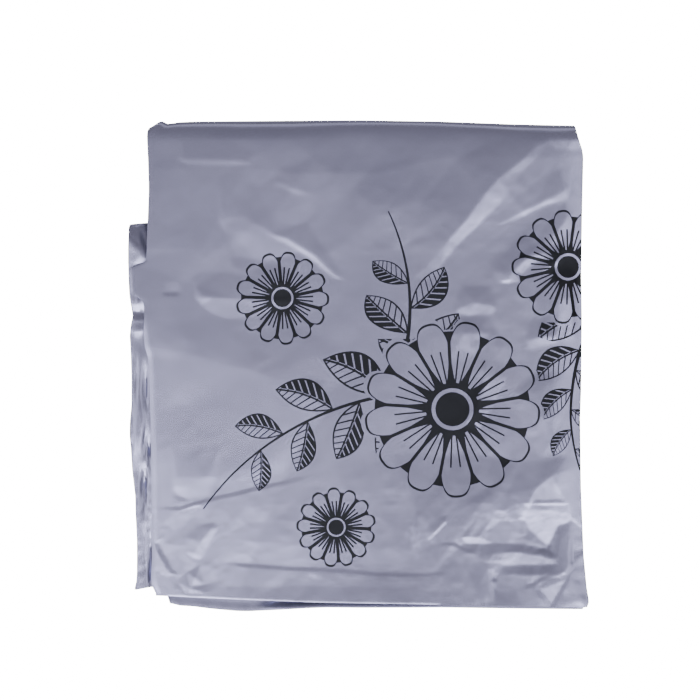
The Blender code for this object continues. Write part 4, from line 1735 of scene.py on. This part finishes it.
@dataclass(frozen=True)
class SatinFilm:
    """Blown and lightly embossed film with a fine metallic pigment, and one black ink printed on it.

    It is silver grey-lavender, with a pearly sheen that lights up every crease. The ink is slightly glossy.
    """

    colour: str = "#8d8dac"
    deep_colour: str = "#8383a2"
    ink: str = "#0c0e16"
    roughness: float = 0.27
    ink_roughness: float = 0.42
    metallic: float = 0.75
    cloud_size: float = 90.0
    grain_size: float = 2.6
    grain_depth: float = 0.02
    cloud_detail: float = 3.0
    grain_detail: float = 2.0
    pattern: FloralPrint = FloralPrint()

    def make(self) -> bpy.types.Material:
        """Build the material.

        Returns:
            The material.
        """
        material = bpy.data.materials.new("satin_peva_film")
        material.use_nodes = True
        tree = material.node_tree
        tree.nodes.clear()
        cut = add_node(tree, "UVMap", {"uv_map": "cut"}).outputs["UV"]
        clouds = add_node(tree, "TexNoise", {}, {
            "Vector": cut, "Scale": 1 / (self.cloud_size * MM), "Detail": self.cloud_detail,
        }).outputs["Fac"]
        tint = mix(tree, clouds, linear(self.deep_colour), linear(self.colour), "RGBA")
        ink = self.pattern.mask(tree, cut)
        colour = mix(tree, ink, tint, linear(self.ink), "RGBA")
        rough = mix(tree, ink, self.roughness, self.ink_roughness)
        # Embossing is finer than this on the real film. It is drawn as coarse as a render can show.
        grain = add_node(tree, "TexNoise", {}, {
            "Vector": cut, "Scale": 1 / (self.grain_size * MM), "Detail": self.grain_detail,
        }).outputs["Fac"]
        bump = add_node(tree, "Bump", {}, {
            "Strength": 1.0, "Distance": self.grain_depth * MM, "Height": grain,
        }).outputs[0]
        shader = add_node(tree, "BsdfPrincipled", {}, {
            "Base Color": colour, "Roughness": rough, "Metallic": self.metallic, "Normal": bump,
        })
        add_node(tree, "OutputMaterial", {}, {"Surface": shader.outputs[0]})
        return material


@dataclass(frozen=True)
class PaleFloor:
    """A matt white painted table top."""

    colour: str = "#fafafa"
    shade: str = "#303030"
    glow: float = 18.0
    mirrored_glow: float = 0.55
    roughness: float = 0.9
    size: float = 12.0
    gap: float = 0.0002

    def build(self) -> bpy.types.Object:
        """Lay the floor just under the packet.

        Returns:
            The floor.
        """
        bpy.ops.object.select_all(action="DESELECT")
        bpy.ops.mesh.primitive_plane_add(size=self.size, location=(0, 0, CAD_BOX[0][2] - self.gap))
        floor = bpy.context.object
        floor.name = "studio_floor"
        material = bpy.data.materials.new("matt_white_paint")
        material.use_nodes = True
        tree = material.node_tree
        tree.nodes.clear()
        seen = add_node(tree, "LightPath").outputs["Is Camera Ray"]
        glow = mix(tree, seen, self.mirrored_glow, self.glow)
        shader = add_node(tree, "BsdfPrincipled", {}, {
            "Base Color": linear(self.shade), "Roughness": self.roughness,
            "Emission Color": linear(self.colour), "Emission Strength": glow,
        })
        add_node(tree, "OutputMaterial", {}, {"Surface": shader.outputs[0]})
        floor.data.materials.append(material)
        # The film mirrors the table dimly at its steep edges, and takes no light from it.
        floor.visible_diffuse = False
        return floor


# ---------------------------------------------------------------- light and camera


class SoftBox(NamedTuple):
    """One soft lamp: where it hangs, how wide and deep it is, and how bright."""

    name: str
    x: float
    y: float
    z: float
    width: float
    depth: float
    watts: float


@dataclass(frozen=True)
class Studio:
    """Plain soft studio light, and the camera straight above the packet."""

    lamps: tuple[SoftBox, ...] = (
        SoftBox("front_softbox", 0.0, -4.9, 10.0, 10.0, 6.4, 2100.0),
        SoftBox("back_softbox", 0.0, 3.4, 2.0, 4.0, 1.6, 22.0),
        SoftBox("left_softbox", -2.2, -0.3, 3.0, 1.6, 2.4, 30.0),
        SoftBox("right_softbox", 2.2, -0.3, 3.0, 1.6, 2.4, 24.0),
    )
    ambient: float = 0.17
    ambient_colour: str = "#f6e9cf"
    view_width: float = 0.8064
    camera_rise: float = 12.0
    face_height: float = 0.022
    centre: tuple[float, float] = (-0.00973, 0.0186)
    sensor: float = 36.0

    def light(self) -> None:
        """Hang the lamps and set the room's own light."""
        for lamp in self.lamps:
            data = bpy.data.lights.new(lamp.name, "AREA")
            data.shape = "RECTANGLE"
            data.size, data.size_y = lamp.width, lamp.depth
            data.energy = lamp.watts
            thing = bpy.data.objects.new(lamp.name, data)
            thing.location = (lamp.x, lamp.y, lamp.z)
            thing.rotation_euler = (-Vector(thing.location)).to_track_quat("-Z", "Y").to_euler()
            bpy.context.scene.collection.objects.link(thing)
        world = bpy.data.worlds.new("room")
        world.use_nodes = True
        room = world.node_tree.nodes["Background"]
        room.inputs["Color"].default_value = linear(self.ambient_colour)
        room.inputs["Strength"].default_value = self.ambient
        bpy.context.scene.world = world

    def point_camera(self) -> None:
        """Place the camera straight above the packet, with the packet's folded-over end up."""
        data = bpy.data.cameras.new("overhead")
        data.sensor_width = self.sensor
        data.lens = self.sensor * self.camera_rise / self.view_width
        camera = bpy.data.objects.new("overhead", data)
        camera.location = (*self.centre, self.camera_rise + self.face_height)
        bpy.context.scene.collection.objects.link(camera)
        bpy.context.scene.camera = camera


# ---------------------------------------------------------------- the scene


def main() -> None:
    """Build the floor, the folded film, the light and the camera."""
    logging.basicConfig(level=logging.INFO, format="%(message)s")
    floor = PaleFloor().build()
    film = FoldedFilm(material=SatinFilm().make())
    piece = film.build()
    film.dress(piece)
    log.info("%s: %d faces", piece.name, len(piece.data.polygons))
    studio = Studio()
    studio.light()
    studio.point_camera()


if __name__ == "__main__":
    main()
